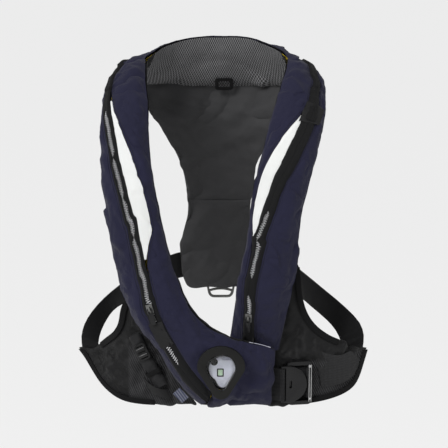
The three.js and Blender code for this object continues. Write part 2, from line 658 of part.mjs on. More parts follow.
// ---------------------------------------------------------------- back panel and belt
const backPanel = sheet(
  [[-107, 98, -66], [-102, 82, -100], [-90, 88, -115], [-70, 105, -153], [-53, 117, -195], [-47, 121, -241]],
  [[108, 96, -66], [100, 82, -100], [87, 88, -117], [66, 105, -155], [54, 117, -197], [50, 121, -241]],
  eased([[0, 29], [0.2, 34], [0.6, 22], [0.8, 12], [1, 9]]),
);
const backPad = sheet(
  [
    [-47, 121, -241.4], [-47, 122, -262], [-52, 123, -290],
    [-58, 124, -325], [-56, 124, -364], [-44, 125, -382],
  ],
  [
    [50, 121, -241.4], [50, 122, -262], [54, 123, -290],
    [58, 124, -325], [57, 124, -364], [46, 125, -382],
  ],
  eased([[0, 9], [1, 7]]),
);
add("back_panel", quilt(backPanel, 5, 12, 6), CHARCOAL);
add("back_pad", quilt(backPad, 8, 8, 6), CHARCOAL);

const BELT_TOP = [
  [-197, -30, -431], [-199, -25, -413], [-195, -16, -397], [-184, -2, -381], [-167, 20, -367],
  [-148, 46, -357], [-118, 84, -343], [-80, 118, -331], [-46, 136, -326], [-20, 138.5, -325],
  [0, 138.5, -325], [20, 138.5, -325],
  [46, 136, -325], [80, 112, -326], [106, 80, -328], [125, 52, -336], [157, 20, -355], [187, 0, -376],
  [207, -18, -394], [213, -25, -411], [211, -29, -430],
];
const BELT_BOTTOM = [
  [-172, -42, -436], [-174, -30, -421], [-171, -14, -408], [-164, 4, -396], [-156, 26, -389],
  [-144, 58, -388], [-112, 92, -380], [-76, 120, -370], [-46, 136, -366], [-20, 138.5, -365],
  [0, 138.5, -365], [20, 138.5, -365],
  [46, 136, -365], [78, 114, -366], [104, 82, -369], [124, 54, -376], [140, 28, -384], [160, 8, -397],
  [173, -12, -408], [180, -29, -421], [184, -45, -436],
];
add("waist_belt", strap(BELT_TOP, BELT_BOTTOM, WEBBING, 40), WEB);

const KEEPER = { width: 26, height: 58, thick: 1.8, room: 3.8 };
for (const [side, x] of [["right", -30], ["left", 32]]) {
  const profile = new THREE.Shape();
  const [h, r, t] = [KEEPER.height / 2, KEEPER.room, KEEPER.thick];
  const inner = h - 7;
  const outline = [[-h, 0], [-inner, 0], [-inner, r], [inner, r], [inner, 0], [h, 0]];
  const outer = [[h, t], [inner + t, t], [inner + t, r + t], [-inner - t, r + t], [-inner - t, t], [-h, t]];
  profile.setFromPoints([...outline, ...outer].map(([a, b]) => new THREE.Vector2(a, b)));
  const keeper = extrude(profile, KEEPER.width).translate(0, 0, -KEEPER.width / 2);
  keeper.applyMatrix4(new THREE.Matrix4().makeBasis(vec([0, 0, 1]), vec([0, 1, 0]), vec([-1, 0, 0])));
  add(`${side}_belt_keeper`, keeper.translate(x, 136.2, -345), WEB);
}

// ---------------------------------------------------------------- crotch strap ring
const RING_AXIS = [4, 140.5, -375];
const ringShape = new THREE.Shape();
ringShape.moveTo(19, 2);
ringShape.lineTo(-19, 2);
ringShape.quadraticCurveTo(-23.5, 2, -22.5, -4);
ringShape.lineTo(-20, -18);
ringShape.quadraticCurveTo(-18, -27, -10, -27);
ringShape.lineTo(10, -27);
ringShape.quadraticCurveTo(18, -27, 20, -18);
ringShape.lineTo(22.5, -4);
ringShape.quadraticCurveTo(23.5, 2, 19, 2);
const upperHole = new THREE.Path();
upperHole.moveTo(-17, -2);
upperHole.lineTo(17, -2);
upperHole.quadraticCurveTo(19, -2, 18.5, -6);
upperHole.lineTo(17.5, -14);
upperHole.quadraticCurveTo(0, -8, -17.5, -14);
upperHole.lineTo(-18.5, -6);
upperHole.quadraticCurveTo(-19, -2, -17, -2);
const lowerHole = new THREE.Path();
lowerHole.moveTo(-16, -17);
lowerHole.quadraticCurveTo(0, -11.5, 16, -17);
lowerHole.quadraticCurveTo(15, -23.4, 10, -23.4);
lowerHole.lineTo(-10, -23.4);
lowerHole.quadraticCurveTo(-15, -23.4, -16, -17);
ringShape.holes.push(upperHole, lowerHole);
const ring = add("crotch_ring", extrude(ringShape, RING_WIRE, 6).translate(0, 0, -RING_WIRE / 2), DARK_STEEL);
ring.position.set(...RING_AXIS);
ring.rotation.x = Math.PI / 2;
const loopOutline = rounded(9, 14, 4.4);
loopOutline.holes.push(new THREE.Path().absarc(0, -1.5, 3, 0, 2 * Math.PI, true));
const ringLoop = extrude(loopOutline, 24, 4).translate(0, 1.5, -12);
ringLoop.applyMatrix4(new THREE.Matrix4().makeBasis(vec([0, 1, 0]), vec([0, 0, 1]), vec([1, 0, 0])));
add("ring_loop", ringLoop.translate(...RING_AXIS), WEB);

// ---------------------------------------------------------------- wings
const WING = 6;
const RIGHT_WING_TOP = [
  [-176, -47, -426], [-168, -57, -413], [-157, -69, -400], [-146, -82, -387],
  [-139, -88, -372], [-136, -90, -350], [-128, -91, -334], [-104, -93, -330],
];
const RIGHT_WING_BOTTOM = [
  [-201, -36, -426], [-190, -45, -438], [-176, -58, -457], [-160, -73, -474],
  [-136, -88, -487], [-106, -97, -490], [-76, -101, -490], [-30, -104, -489],
];
const LEFT_WING_TOP = [
  [188, -54, -424], [177, -65, -407], [157, -77, -394], [139, -85, -378], [125, -88, -356], [118, -88, -328],
  [115, -87, -290], [104, -86, -266],
];
const LEFT_WING_BOTTOM = [
  [216, -36, -426], [210, -44, -443], [199, -60, -470], [184, -74, -480], [160, -86, -486], [134, -94, -489],
  [104, -99, -490], [62, -104, -489],
];
const FLAT_TOP = WING / 2 + GAP; // a strip laid on a wing starts this high
const rightWing = sheet(RIGHT_WING_TOP, RIGHT_WING_BOTTOM, eased([[0, 0], [0.3, 2], [1, 0]]), 0.18);
const leftWing = sheet(LEFT_WING_TOP, LEFT_WING_BOTTOM, eased([[0, 0], [0.3, -3], [1, 0]]), 0.18);
const spanOf = (at) => (f) => at(f, 0, 0).distanceTo(at(f, 1, 0));
for (const [side, at, start, reach] of [["right", rightWing, 0.16, 0.8], ["left", leftWing, 0.18, 0.86]]) {
  const span = spanOf(at);
  add(`${side}_wing`, quilt(at, WING, 14, 4), BLACK_CLOTH);
  add(`${side}_wing_binding`, edging(at, start, reach, 9, FLAT_TOP, FLAT_TOP + 1.4, 14), WEB);
  const hem = laid(at, 0.02, reach, (f) => 1 - 8 / span(f), flat(1), FLAT_TOP, FLAT_TOP + 1.4, 12, 1);
  add(`${side}_wing_hem`, hem, WEB);
}
const meshFoot = (f) => Math.min(0.86, 1 - 9.5 / spanOf(leftWing)(f));
const wingMesh = laid(leftWing, 0.16, 0.62, flat(0.42), meshFoot, FLAT_TOP, FLAT_TOP + 1, 8, 2);
add("left_wing_mesh", wingMesh, GREY_MESH);

// ---------------------------------------------------------------- crotch strap, stowed on the right wing
const ROLL = { thick: 9, y: -106 };
const rollLine = [
  [-118, ROLL.y, -384],
  [-110, ROLL.y - 0.5, -401],
  [-97, ROLL.y - 2, -427],
  [-78, ROLL.y - 3, -459],
];
const besideRoll = (d) => rollLine.map(([x, y, z]) => [x + 0.88 * d, y, z + 0.46 * d]);
const roll = sheet(besideRoll(9), besideRoll(-9), flat(0));
add("stowed_strap", quilt(roll, ROLL.thick, 10, 4), finish(0x2b2b2e, 0.7));

// Local y runs down the roll and z out of it.
function onRoll(share, height) {
  const seat = new THREE.Group();
  const here = roll(share, 0.5, height);
  const down = roll(share + 0.05, 0.5, height).sub(roll(share - 0.05, 0.5, height)).normalize();
  const out = roll(share, 0.5, height + 1).sub(here).normalize();
  seat.matrix.makeBasis(down.clone().cross(out).normalize(), down, out).setPosition(here);
  seat.matrix.decompose(seat.position, seat.quaternion, seat.scale);
  jacket.add(seat);
  return seat;
}
const CLIP = { width: 17, length: 24, thick: 2.2, hump: 3 };
const clipHump = (y) => along("x", 13, CLIP.hump, 14).translate(0, y, CLIP.thick);
const clipPlate = extrude(rounded(CLIP.width, CLIP.length, 4), CLIP.thick, 4);
const clipSlit = (y) => box(11, 1.5, 20).translate(0, y, 0);
const below = box(40, 40, 20).translate(0, 0, -10);
const clipWhole = join(clipPlate, clipHump(-5), clipHump(5));
const clipBody = cut(clipWhole, below, clipSlit(-9), clipSlit(0), clipSlit(9));
clipBody.translate(0, CLIP.length / 2 - 2, 0);
const clipSeat = onRoll(0.3, ROLL.thick / 2 + GAP + 0.2);
add("strap_clip", clipBody, PLASTIC, clipSeat);
const bandOutline = rounded(23, ROLL.thick + 3, 4);
bandOutline.holes.push(rounded(20.4, ROLL.thick + 0.8, 3, true));
const band = extrude(bandOutline, 7, 4).rotateX(Math.PI / 2);
add("strap_band", band, WEB, onRoll(0.82, 0));
const cup = strap(
  [[-105, -101.5, -449], [-98, -111, -454], [-85, -114, -461], [-71, -108.5, -465]],
  [[-99, -102, -465], [-92, -110, -470], [-80, -112.5, -475], [-67, -108.5, -479]],
  1.4,
  10,
);
add("strap_pocket", cup, BLACK_TAPE);

const tagSeat = new THREE.Group();
tagSeat.position.set(-52, -119.5, -470);
tagSeat.rotation.set(0, 0.83, 0);
jacket.add(tagSeat);
add("woven_tag", box(19, 0.9, 13), finish(0x5e6a86, 0.8), tagSeat);

const loopSeat = new THREE.Group();
const loopAt = onBand(19.1, 0.16, "back");
const loopOut = outward(19.1).negate();
const loopSide = vec([1, 0, 0]);
loopSeat.matrix.makeBasis(loopSide, loopOut.clone().cross(loopSide).normalize(), loopOut);
loopSeat.matrix.setPosition(loopAt.addScaledVector(loopOut, 3.2));
loopSeat.matrix.decompose(loopSeat.position, loopSeat.quaternion, loopSeat.scale);
jacket.add(loopSeat);
const hanger = rounded(27, 19, 5);
hanger.holes.push(rounded(17, 11, 3, true));
add("hanging_loop", extrude(hanger, 1.6), WEB, loopSeat);

// ---------------------------------------------------------------- front belt and buckle
// Local x runs along the belt to the wearer's left, y up and z out of the jacket.
const buckleSeat = new THREE.Group();
buckleSeat.position.set(115, -102.4, -455);
const beltWay = vec([0.986, 0.164, 0]);
buckleSeat.matrix.makeBasis(beltWay, vec([0, 0, 1]), beltWay.clone().cross(vec([0, 0, 1])));
buckleSeat.matrix.setPosition(buckleSeat.position);
buckleSeat.matrix.decompose(buckleSeat.position, buckleSeat.quaternion, buckleSeat.scale);
jacket.add(buckleSeat);

// A band seen edge-on, as a shape: the line with half the thickness either side.
function ribbon(line, thickness) {
  const side = (sign) =>
    line.map(([x, y], k) => {
      const [x0, y0] = line[Math.max(0, k - 1)];
      const [x1, y1] = line[Math.min(line.length - 1, k + 1)];
      const half = (sign * thickness) / 2 / Math.hypot(x1 - x0, y1 - y0);
      return new THREE.Vector2(x - (y1 - y0) * half, y + (x1 - x0) * half);
    });
  return new THREE.Shape([...side(-1), ...side(1).reverse()]);
}
const upright = (geometry, height) => geometry.rotateX(-Math.PI / 2).translate(0, -height / 2, 0);
const BAR = { x: 14.6, z: 5.4, radius: 2.3 };
const PIVOT = { x: -25.7, z: 10.6 };
const frameOutline = rounded(BUCKLE_WIDTH, BUCKLE_HEIGHT, 7);
const opening = box(BUCKLE_WIDTH, BUCKLE_HEIGHT - 2 * BUCKLE_BAR, 20).translate(BUCKLE_BAR, 0, 0);
const barSeat = along("y", BUCKLE_HEIGHT - 5, BAR.radius + GAP, 14).translate(BAR.x, 0, BAR.z);
const frame = extrude(frameOutline, BUCKLE_DEPTH + 2, 5).translate(0, 0, 2.4);
add("buckle_frame", cut(frame, opening, barSeat), PLASTIC, buckleSeat);
const bar = along("y", BUCKLE_HEIGHT - 6, BAR.radius, 14).translate(BAR.x, 0, BAR.z);
add("buckle_bar", bar, STEEL, buckleSeat);

const eyeOf = (radius, at, height) => along("y", height, radius, 18).translate(at.x, 0, at.z);
const tail = upright(extrude(ribbon([[-18, -1.6], [4, -1.5], [BAR.x, -1.6]], 1.6), 44), 44);
const barLoop = cut(join(tail, eyeOf(BAR.radius + 2.2, BAR, 44)), eyeOf(BAR.radius + 0.6, BAR, 60));
add("bar_loop", barLoop, WEB, buckleSeat);

const beltLine = [[-63, -1.2], [-52, -2.2], [-42, -3.7], [-35, -6.6], [-30, -9.8], [PIVOT.x, -PIVOT.z]];
const front = upright(extrude(ribbon(beltLine, 2.8), BELT_WIDTH), BELT_WIDTH);
const frontBelt = cut(join(front, eyeOf(3.7, PIVOT, BELT_WIDTH)), eyeOf(2.3, PIVOT, 60));
add("front_belt", frontBelt, WEB, buckleSeat);

const tongue = new THREE.Shape();
tongue.moveTo(-27, -27);
tongue.lineTo(-18, -27);
tongue.bezierCurveTo(-4, -27, 9.6, -17, 9.6, 0);
tongue.bezierCurveTo(9.6, 17, -4, 27, -18, 27);
tongue.lineTo(-27, 27);
const slot = (x0, x1, y) =>
  new THREE.Path([[x0, -y], [x1, -y], [x1, y], [x0, y]].map(([a, b]) => new THREE.Vector2(a, b)));
tongue.holes.push(slot(-24.4, -20.6, 24.2), slot(-15.5, -12, 5.5));
const tonguePlate = extrude(tongue, 2.8, 8).translate(0, 0, PIVOT.z - 1.4);
const nib = box(3.6, 20, 5).translate(-10.2, 0, PIVOT.z - 3);
const tongueSeat = new THREE.Group();
tongueSeat.position.set(PIVOT.x, 0, PIVOT.z);
buckleSeat.add(tongueSeat);
add("buckle_tongue", join(tonguePlate, nib).translate(-PIVOT.x, 0, -PIVOT.z), PLASTIC, tongueSeat);

export default jacket;
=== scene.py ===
# The looks of an inflatable life jacket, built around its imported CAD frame. Metres, +Z up.
# Sides are the wearer's: right is -X, left is +X. The jacket's front faces -Y.
import json
import math

import bmesh
import bpy
import numpy as np
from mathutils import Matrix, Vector, kdtree
from mathutils.bvhtree import BVHTree

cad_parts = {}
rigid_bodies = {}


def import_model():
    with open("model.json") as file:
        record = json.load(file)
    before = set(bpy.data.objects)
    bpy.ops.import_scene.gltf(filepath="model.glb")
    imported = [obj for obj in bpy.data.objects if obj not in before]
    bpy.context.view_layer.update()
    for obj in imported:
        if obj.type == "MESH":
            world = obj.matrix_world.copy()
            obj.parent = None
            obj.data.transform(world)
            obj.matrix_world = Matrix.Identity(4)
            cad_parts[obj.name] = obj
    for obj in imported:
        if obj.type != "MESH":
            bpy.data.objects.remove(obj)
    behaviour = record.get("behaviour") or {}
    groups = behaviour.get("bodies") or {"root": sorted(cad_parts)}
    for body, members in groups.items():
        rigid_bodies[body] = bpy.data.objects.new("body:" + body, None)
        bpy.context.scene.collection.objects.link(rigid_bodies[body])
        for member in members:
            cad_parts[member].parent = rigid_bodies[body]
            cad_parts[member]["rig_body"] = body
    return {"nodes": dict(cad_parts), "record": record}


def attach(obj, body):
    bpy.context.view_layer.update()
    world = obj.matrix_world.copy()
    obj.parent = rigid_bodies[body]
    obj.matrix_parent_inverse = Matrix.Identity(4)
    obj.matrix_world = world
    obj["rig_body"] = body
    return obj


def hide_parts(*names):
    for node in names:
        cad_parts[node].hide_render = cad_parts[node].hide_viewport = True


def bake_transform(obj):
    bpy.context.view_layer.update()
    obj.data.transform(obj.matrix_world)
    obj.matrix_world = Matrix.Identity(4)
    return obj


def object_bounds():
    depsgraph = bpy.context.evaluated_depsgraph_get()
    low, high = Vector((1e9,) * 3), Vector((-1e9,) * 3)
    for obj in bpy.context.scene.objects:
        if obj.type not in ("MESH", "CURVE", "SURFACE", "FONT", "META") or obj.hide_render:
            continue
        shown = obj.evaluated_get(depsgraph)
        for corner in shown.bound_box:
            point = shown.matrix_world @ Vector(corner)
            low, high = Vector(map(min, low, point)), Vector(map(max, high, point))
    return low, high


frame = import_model()
cad_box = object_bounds()
NODES = frame["nodes"]
BODY_OF = {n: body for body, names in frame["record"]["behaviour"]["bodies"].items() for n in names}
MM = 0.001
scene = bpy.context.scene

# ---------------------------------------------------------------- camera, light and floor
ELEVATION = math.radians(14)
DISTANCE = 2.5
AIM = Vector((0.009, 0.0, -0.250))
FLOOR_DROP = 1.1  # the jacket hangs this far above the floor
FLOOR_REACH = 40


def add_object(name, data):
    obj = bpy.data.objects.new(name, data)
    scene.collection.objects.link(obj)
    return obj


def make_camera():
    lens = bpy.data.cameras.new("camera")
    lens.sensor_width = 36
    lens.lens = 138.5
    camera = add_object("camera", lens)
    camera.location = AIM + DISTANCE * Vector((0, -math.cos(ELEVATION), math.sin(ELEVATION)))
    camera.rotation_euler = (math.pi / 2 - ELEVATION, 0, 0)
    scene.camera = camera


def make_light():
    scene.view_settings.view_transform = "Standard"
    world = bpy.data.worlds.new("studio")
    world.use_nodes = True
    world.node_tree.nodes["Background"].inputs["Color"].default_value = (1, 1, 1, 1)
    world.node_tree.nodes["Background"].inputs["Strength"].default_value = 0.46
    scene.world = world
    key = bpy.data.lights.new("key", "SUN")
    key.energy = 2.2
    key.angle = math.radians(24)
    lamp = add_object("key", key)
    lamp.rotation_euler = (math.radians(48), 0, math.radians(-38))
    for name, spot, size, power in (
        ("softbox_left", (-1.6, -1.9, 0.9), 0.9, 16),
        ("softbox_right", (1.9, -1.2, 0.5), 0.7, 9),
    ):
        soft = bpy.data.lights.new(name, "AREA")
        soft.size = size
        soft.energy = power
        box = add_object(name, soft)
        box.location = spot
        box.rotation_euler = (AIM - Vector(spot)).to_track_quat("-Z", "Y").to_euler()


def make_floor():
    reach = FLOOR_REACH
    height = cad_box[0][2] - FLOOR_DROP
    mesh = bpy.data.meshes.new("floor")
    corners = [(-reach, -reach), (reach, -reach), (reach, reach), (-reach, reach)]
    mesh.from_pydata([(x, y, height) for x, y in corners], [], [(0, 1, 2, 3)])
    floor = add_object("floor", mesh)
    paint = bpy.data.materials.new("floor")
    paint.use_nodes = True
    shader = paint.node_tree.nodes["Principled BSDF"]
    shader.inputs["Base Color"].default_value = (0.90, 0.90, 0.90, 1)
    shader.inputs["Roughness"].default_value = 1
    shader.inputs["Specular IOR Level"].default_value = 0
    mesh.materials.append(paint)


make_camera()
make_light()
make_floor()


# ---------------------------------------------------------------- materials
class Paint:
    """A node material, built one node at a time."""

    def __init__(self, name, roughness=0.8, metallic=0.0, **constants):
        self.material = bpy.data.materials.new(name)
        self.material.use_nodes = True
        self.tree = self.material.node_tree
        self.shader = self.tree.nodes["Principled BSDF"]
        constants = {"Roughness": roughness, "Metallic": metallic, **constants}
        for key, value in constants.items():
            self.shader.inputs[key].default_value = value

    def node(self, kind, inputs=(), **settings):
        made = self.tree.nodes.new("ShaderNode" + kind)
        for key, value in settings.items():
            setattr(made, key, value)
        for key, value in dict(inputs).items():
            if isinstance(value, bpy.types.NodeSocket):
                self.tree.links.new(value, made.inputs[key])
            else:
                made.inputs[key].default_value = value
        return made

    def place(self, scale=(1, 1, 1), turn=(0, 0, 0), source="Object"):
        """Coordinates in the part's frame, or along its straps (UV, in metres)."""
        spot = self.node("TexCoord").outputs[source]
        mapping = self.node("Mapping", {"Vector": spot, "Rotation": turn, "Scale": scale})
        return mapping.outputs["Vector"]

    def noise(self, scale, detail=3, rough=0.5, where=None):
        where = where or self.place()
        made = self.node("TexNoise", {"Vector": where, "Scale": scale, "Detail": detail, "Roughness": rough})
        return made.outputs["Fac"]

    def voronoi(self, scale, randomness, where):
        made = self.node("TexVoronoi", {"Vector": where, "Scale": scale, "Randomness": randomness})
        return made.outputs["Distance"]

    def stripes(self, scale, where, direction="X", distortion=0.0):
        inputs = {"Vector": where, "Scale": scale, "Distortion": distortion}
        return self.node("TexWave", inputs, bands_direction=direction).outputs["Fac"]

    def math(self, operation, *values):
        return self.node("Math", dict(enumerate(values)), operation=operation).outputs[0]

    def ramp(self, value, low, high, to_low=0.0, to_high=1.0):
        inputs = {"Value": value, "From Min": low, "From Max": high, "To Min": to_low, "To Max": to_high}
        return self.node("MapRange", inputs).outputs["Result"]

    def mix(self, share, first, second):
        """Two colours mixed; 0, 6, 7 and 2 are the factor, colour A, colour B and colour result sockets."""
        made = self.node("Mix", data_type="RGBA")
        for key, value in ((0, share), (6, first), (7, second)):
            if isinstance(value, bpy.types.NodeSocket):
                self.tree.links.new(value, made.inputs[key])
            else:
                made.inputs[key].default_value = value
        return made.outputs[2]

    def attribute(self, name):
        return self.node("Attribute", attribute_name=name).outputs["Fac"]

    def bump(self, height, distance, strength=1.0, under=None):
        inputs = {"Height": height, "Distance": distance, "Strength": strength}
        if under is not None:
            inputs["Normal"] = under
        return self.node("Bump", inputs).outputs["Normal"]

    def finish(self, colour=None, roughness=None, normal=None):
        for key, socket in (("Base Color", colour), ("Roughness", roughness), ("Normal", normal)):
            if socket is not None:
                self.tree.links.new(socket, self.shader.inputs[key])
        return self.material


def shade(colour, factor):
    """The colour made lighter or darker, with its alpha."""
    return (*[min(1.0, c * factor) for c in colour], 1)


STITCH_FROM_SEAM = 0.0032


def woven(name, colour, thread, roughness, sheen, gloss=0.16, relief=0.00018, mottle=0.12,
          stitched=False, ribs=None, crumple=0.0012):
    """Plain-woven cloth: threads crossing at one pitch, mottled, and a little paler along its seams.

    It can have a row of stitches beside each seam, and ribs where the cloth's "ribbed" values say so.
    """
    paint = Paint(name, **{"Sheen Weight": sheen, "Sheen Roughness": 0.5, "Specular IOR Level": gloss})
    frequency = 0.5 / thread
    warp = paint.stripes(frequency, paint.place(turn=(0, 0.5, 0.3)), "X", 0.6)
    weft = paint.stripes(frequency, paint.place(turn=(0, 0.5, 0.3)), "Z", 0.6)
    weave = paint.math("MULTIPLY", warp, weft)
    cloud = paint.noise(14, 4, 0.6)
    fibre = paint.noise(900, 2, 0.6)
    blotch = paint.ramp(cloud, 0.3, 0.7, 1 - mottle, 1 + mottle)
    tone = paint.math("ADD", blotch, paint.ramp(weave, 0, 1, -0.08, 0.08))
    worn = paint.ramp(paint.attribute("seam"), 0.0, 0.005, 0.35, 0.0)
    base = paint.mix(paint.ramp(tone, 0.75, 1.25), shade(colour, 0.78), shade(colour, 1.22))
    base = paint.mix(paint.math("MULTIPLY", worn, fibre), base, shade(colour, 1.9))
    dry = paint.ramp(fibre, 0.2, 0.8, roughness - 0.06, roughness + 0.06)
    normal = paint.bump(paint.noise(60, 3), crumple, 0.35)
    if stitched:
        offset = paint.math("ABSOLUTE", paint.math("SUBTRACT", paint.attribute("seam"), STITCH_FROM_SEAM))
        line = paint.ramp(offset, 0.0003, 0.0009, 1.0, 0.0)
        dash = paint.ramp(paint.stripes(190, paint.place(turn=(0.4, 0.6, 0)), "Z"), 0.25, 0.45)
        stitch = paint.math("MULTIPLY", line, dash)
        base = paint.mix(stitch, base, shade(colour, 0.35))
        normal = paint.bump(paint.math("SUBTRACT", 1.0, line), 0.0008, 0.8, normal)
    if ribs:
        rib = paint.stripes(0.5 / ribs, paint.place(turn=(0, 0.45, 0)), "X", 0.1)
        rib = paint.math("MULTIPLY", rib, paint.attribute("ribbed"))
        base = paint.mix(rib, base, shade(colour, 8))
        normal = paint.bump(rib, 0.0008, 0.8, normal)
    normal = paint.bump(weave, relief, 0.7, normal)
    return paint.finish(base, dry, normal)


def spacer_mesh(name, colour, pitch):
    """Knitted spacer mesh: pale threads round staggered holes, painted dark as the shade inside them."""
    hole = 0.42  # radius, as a share of the pitch
    paint = Paint(name, **{"Sheen Weight": 0.05, "Specular IOR Level": 0.2})
    where = paint.place(scale=(1 / pitch, 0.72 / pitch, 1), turn=(0, 0, math.radians(45)), source="UV")
    spots = paint.voronoi(1.0, 0.0, where)
    thread = paint.ramp(spots, hole - 0.12, hole + 0.1)
    fibre = paint.noise(1100, 2)
    cloud = paint.noise(18, 3)
    pale = paint.mix(paint.ramp(cloud, 0.3, 0.7), shade(colour, 0.85), shade(colour, 1.25))
    # The holes are painted shade: near-black where the threads leave a hole.
    base = paint.mix(thread, shade(colour, 0.12), pale)
    base = paint.mix(paint.ramp(fibre, 0.35, 0.75, 0.0, 0.35), base, shade(colour, 0.5))
    return paint.finish(base, paint.ramp(thread, 0, 1, 0.95, 0.6), paint.bump(thread, 0.0007, 0.9))


def ribbed(name, colour, rib, pick, roughness=0.6, relief=0.00035):
    """Strap webbing: ribs along it, crossed by the picks of the weave."""
    paint = Paint(name, **{"Sheen Weight": 0.02, "Specular IOR Level": 0.12})
    where = paint.place(source="UV")
    ribs = paint.stripes(0.5 / rib, where, "X")
    picks = paint.stripes(0.5 / pick, where, "Y", 0.3)
    weave = paint.math("MULTIPLY", ribs, paint.ramp(picks, 0, 1, 0.55, 1))
    fibre = paint.noise(700, 3)
    tone = paint.math("MULTIPLY", weave, paint.ramp(fibre, 0.2, 0.8, 0.7, 1.2))
    base = paint.mix(tone, shade(colour, 0.55), shade(colour, 1.7))
    dry = paint.ramp(fibre, 0.2, 0.8, roughness - 0.08, roughness + 0.1)
    return paint.finish(base, dry, paint.bump(weave, relief))


def moulded(name, colour, roughness, **constants):
    """Moulded plastic or rubber: fine grain, faint flow marks, drier rubbed edges and a painted highlight
    along the edges.
    """
    paint = Paint(name, **constants)
    grain = paint.noise(420, 3, 0.65)
    cloud = paint.noise(35, 3)
    highlit_and_rubbed_edges = paint.ramp(paint.node("NewGeometry").outputs["Pointiness"], 0.53, 0.62)
    base = paint.mix(paint.ramp(cloud, 0.3, 0.7), shade(colour, 0.82), shade(colour, 1.18))
    # Paler convex edges are a painted highlight; the same edge mask makes them drier, as rubbed edges are.
    base = paint.mix(paint.math("MULTIPLY", highlit_and_rubbed_edges, 0.35), base, shade(colour, 2.2))
    dull = paint.math("ADD", grain, paint.math("MULTIPLY", highlit_and_rubbed_edges, 0.5))
    dry = paint.ramp(dull, 0.2, 1.0, roughness - 0.08, roughness + 0.12)
    return paint.finish(base, dry, paint.bump(grain, 0.00012, 0.8))


def metal(name, colour, roughness):
    """Brushed or coated metal with fine scratches and small stains."""
    paint = Paint(name, metallic=1.0)
    scratches = 0.15
    long = paint.noise(1, 3, 0.6, paint.place(scale=(900, 900, 40)))
    stain = paint.noise(60, 4, 0.6)
    base = paint.mix(paint.ramp(stain, 0.35, 0.75), shade(colour, 1.1), shade(colour, 0.72))
    dry = paint.ramp(long, 0.25, 0.75, roughness - scratches / 2, roughness + scratches)
    return paint.finish(base, dry, paint.bump(long, 0.00006, 0.6))


NAVY = woven("navy_cloth", (0.0105, 0.0105, 0.0300), 0.0006, 0.72, sheen=0.06, stitched=True)
WING_CLOTH = woven(
    "wing_cloth", (0.0042, 0.0042, 0.0045), 0.0007, 0.42, sheen=0.01, gloss=0.19, ribs=0.0046, crumple=0.0012
)
WHITE = woven("white_cloth", (0.70, 0.71, 0.70), 0.0006, 0.7, sheen=0.03, mottle=0.05)
BLACK = woven("black_cloth", (0.0065, 0.0065, 0.007), 0.0007, 0.55, sheen=0.02, gloss=0.22)
CHARCOAL = woven("charcoal_cloth", (0.024, 0.024, 0.0255), 0.0008, 0.62, sheen=0.04, gloss=0.3)
BLADDER = woven("bladder_film", (0.80, 0.60, 0.05), 0.0005, 0.35, sheen=0.0)
COLLAR_MESH = spacer_mesh("collar_spacer_mesh", (0.15, 0.15, 0.155), 0.0032)
WING_MESH = ribbed("wing_mesh", (0.024, 0.024, 0.025), 0.0030, 0.0060, relief=0.0014)
WEB = ribbed("webbing_weave", (0.0042, 0.0042, 0.0046), 0.0020, 0.0013)
FRONT_WEB = ribbed("front_webbing", (0.016, 0.016, 0.017), 0.0016, 0.0090, relief=0.0006)
PAD_CLOTH = woven("strap_cloth", (0.011, 0.011, 0.012), 0.0007, 0.6, sheen=0.02, gloss=0.2)
TAPE = ribbed("tape_weave", (0.0075, 0.0075, 0.008), 0.0008, 0.0008, roughness=0.7, relief=0.0002)
FLAT_WEB = woven("webbing_bulk", (0.0035, 0.0035, 0.0038), 0.0012, 0.6, sheen=0.01, gloss=0.1, relief=0.0003)
RUBBER = moulded("window_rubber", (0.0055, 0.0055, 0.005), 0.42, **{"Specular IOR Level": 0.22})
PLASTIC = moulded("buckle_plastic", (0.0055, 0.0055, 0.006), 0.30, **{"Specular IOR Level": 0.3})
PALE = moulded("cap_plastic", (0.62, 0.62, 0.70), 0.35)
PALE_SHADE = moulded("bezel_plastic", (0.42, 0.42, 0.52), 0.4)
# Grey ring round the lens: a painted highlight along the lens's edge.
LENS_EDGE_HIGHLIGHT = moulded("painted_lens_edge_highlight", (0.10, 0.10, 0.105), 0.4)
GREEN = moulded("indicator_plastic", (0.50, 0.68, 0.47), 0.35)
YELLOW = moulded("lever_plastic", (0.75, 0.52, 0.03), 0.4)
STEEL = metal("polished_steel", (0.62, 0.62, 0.62), 0.24)
DARK_STEEL = metal("coated_steel", (0.16, 0.16, 0.155), 0.38)
TOOTH = moulded("tooth_metal", (0.36, 0.36, 0.37), 0.32, **{"Metallic": 0.7})


def clear_material():
    paint = Paint("lens_film", roughness=0.06, **{"Transmission Weight": 1.0, "IOR": 1.25})
    haze = paint.noise(45, 4)
    tint = paint.mix(paint.ramp(haze, 0.3, 0.7), (0.97, 0.98, 0.98, 1), (0.90, 0.92, 0.93, 1))
    return paint.finish(tint, paint.ramp(haze, 0.3, 0.75, 0.02, 0.12), paint.bump(haze, 0.0003, 0.2))


LENS = clear_material()


def tag_material():
    """A small woven label: dark blue with broad pale bands."""
    paint = Paint("woven_label")
    weave = paint.stripes(900, paint.place(turn=(0, 0.3, 0)), "Z")
    bands = paint.stripes(90, paint.place(turn=(0, 0.6, 0)), "X", 0.1)
    fibre = paint.noise(600, 3)
    base = paint.mix(paint.math("MULTIPLY", bands, fibre), (0.015, 0.022, 0.075, 1), (0.34, 0.35, 0.38, 1))
    return paint.finish(base, paint.ramp(fibre, 0.2, 0.8, 0.6, 0.8), paint.bump(weave, 0.0002))


TAG = tag_material()


# ---------------------------------------------------------------- mesh tools
SHARP_ANGLE = math.radians(70)
SHARP_CREASE = 0.9
PROBE = 0.02  # how far above a surface a search for it starts


def merged(node, planar=False):
    """The CAD node's faces as a bmesh with shared corners: in quads or, if planar, in whole flat faces."""
    bm = bmesh.new()
    bm.from_mesh(NODES[node].data)
    bmesh.ops.remove_doubles(bm, verts=bm.verts, dist=2e-6)
    if planar:
        bmesh.ops.dissolve_limit(bm, angle_limit=math.radians(1), verts=bm.verts, edges=bm.edges)
    else:
        bmesh.ops.join_triangles(bm, faces=bm.faces, angle_face_threshold=0.7, angle_shape_threshold=3.1)
    return bm


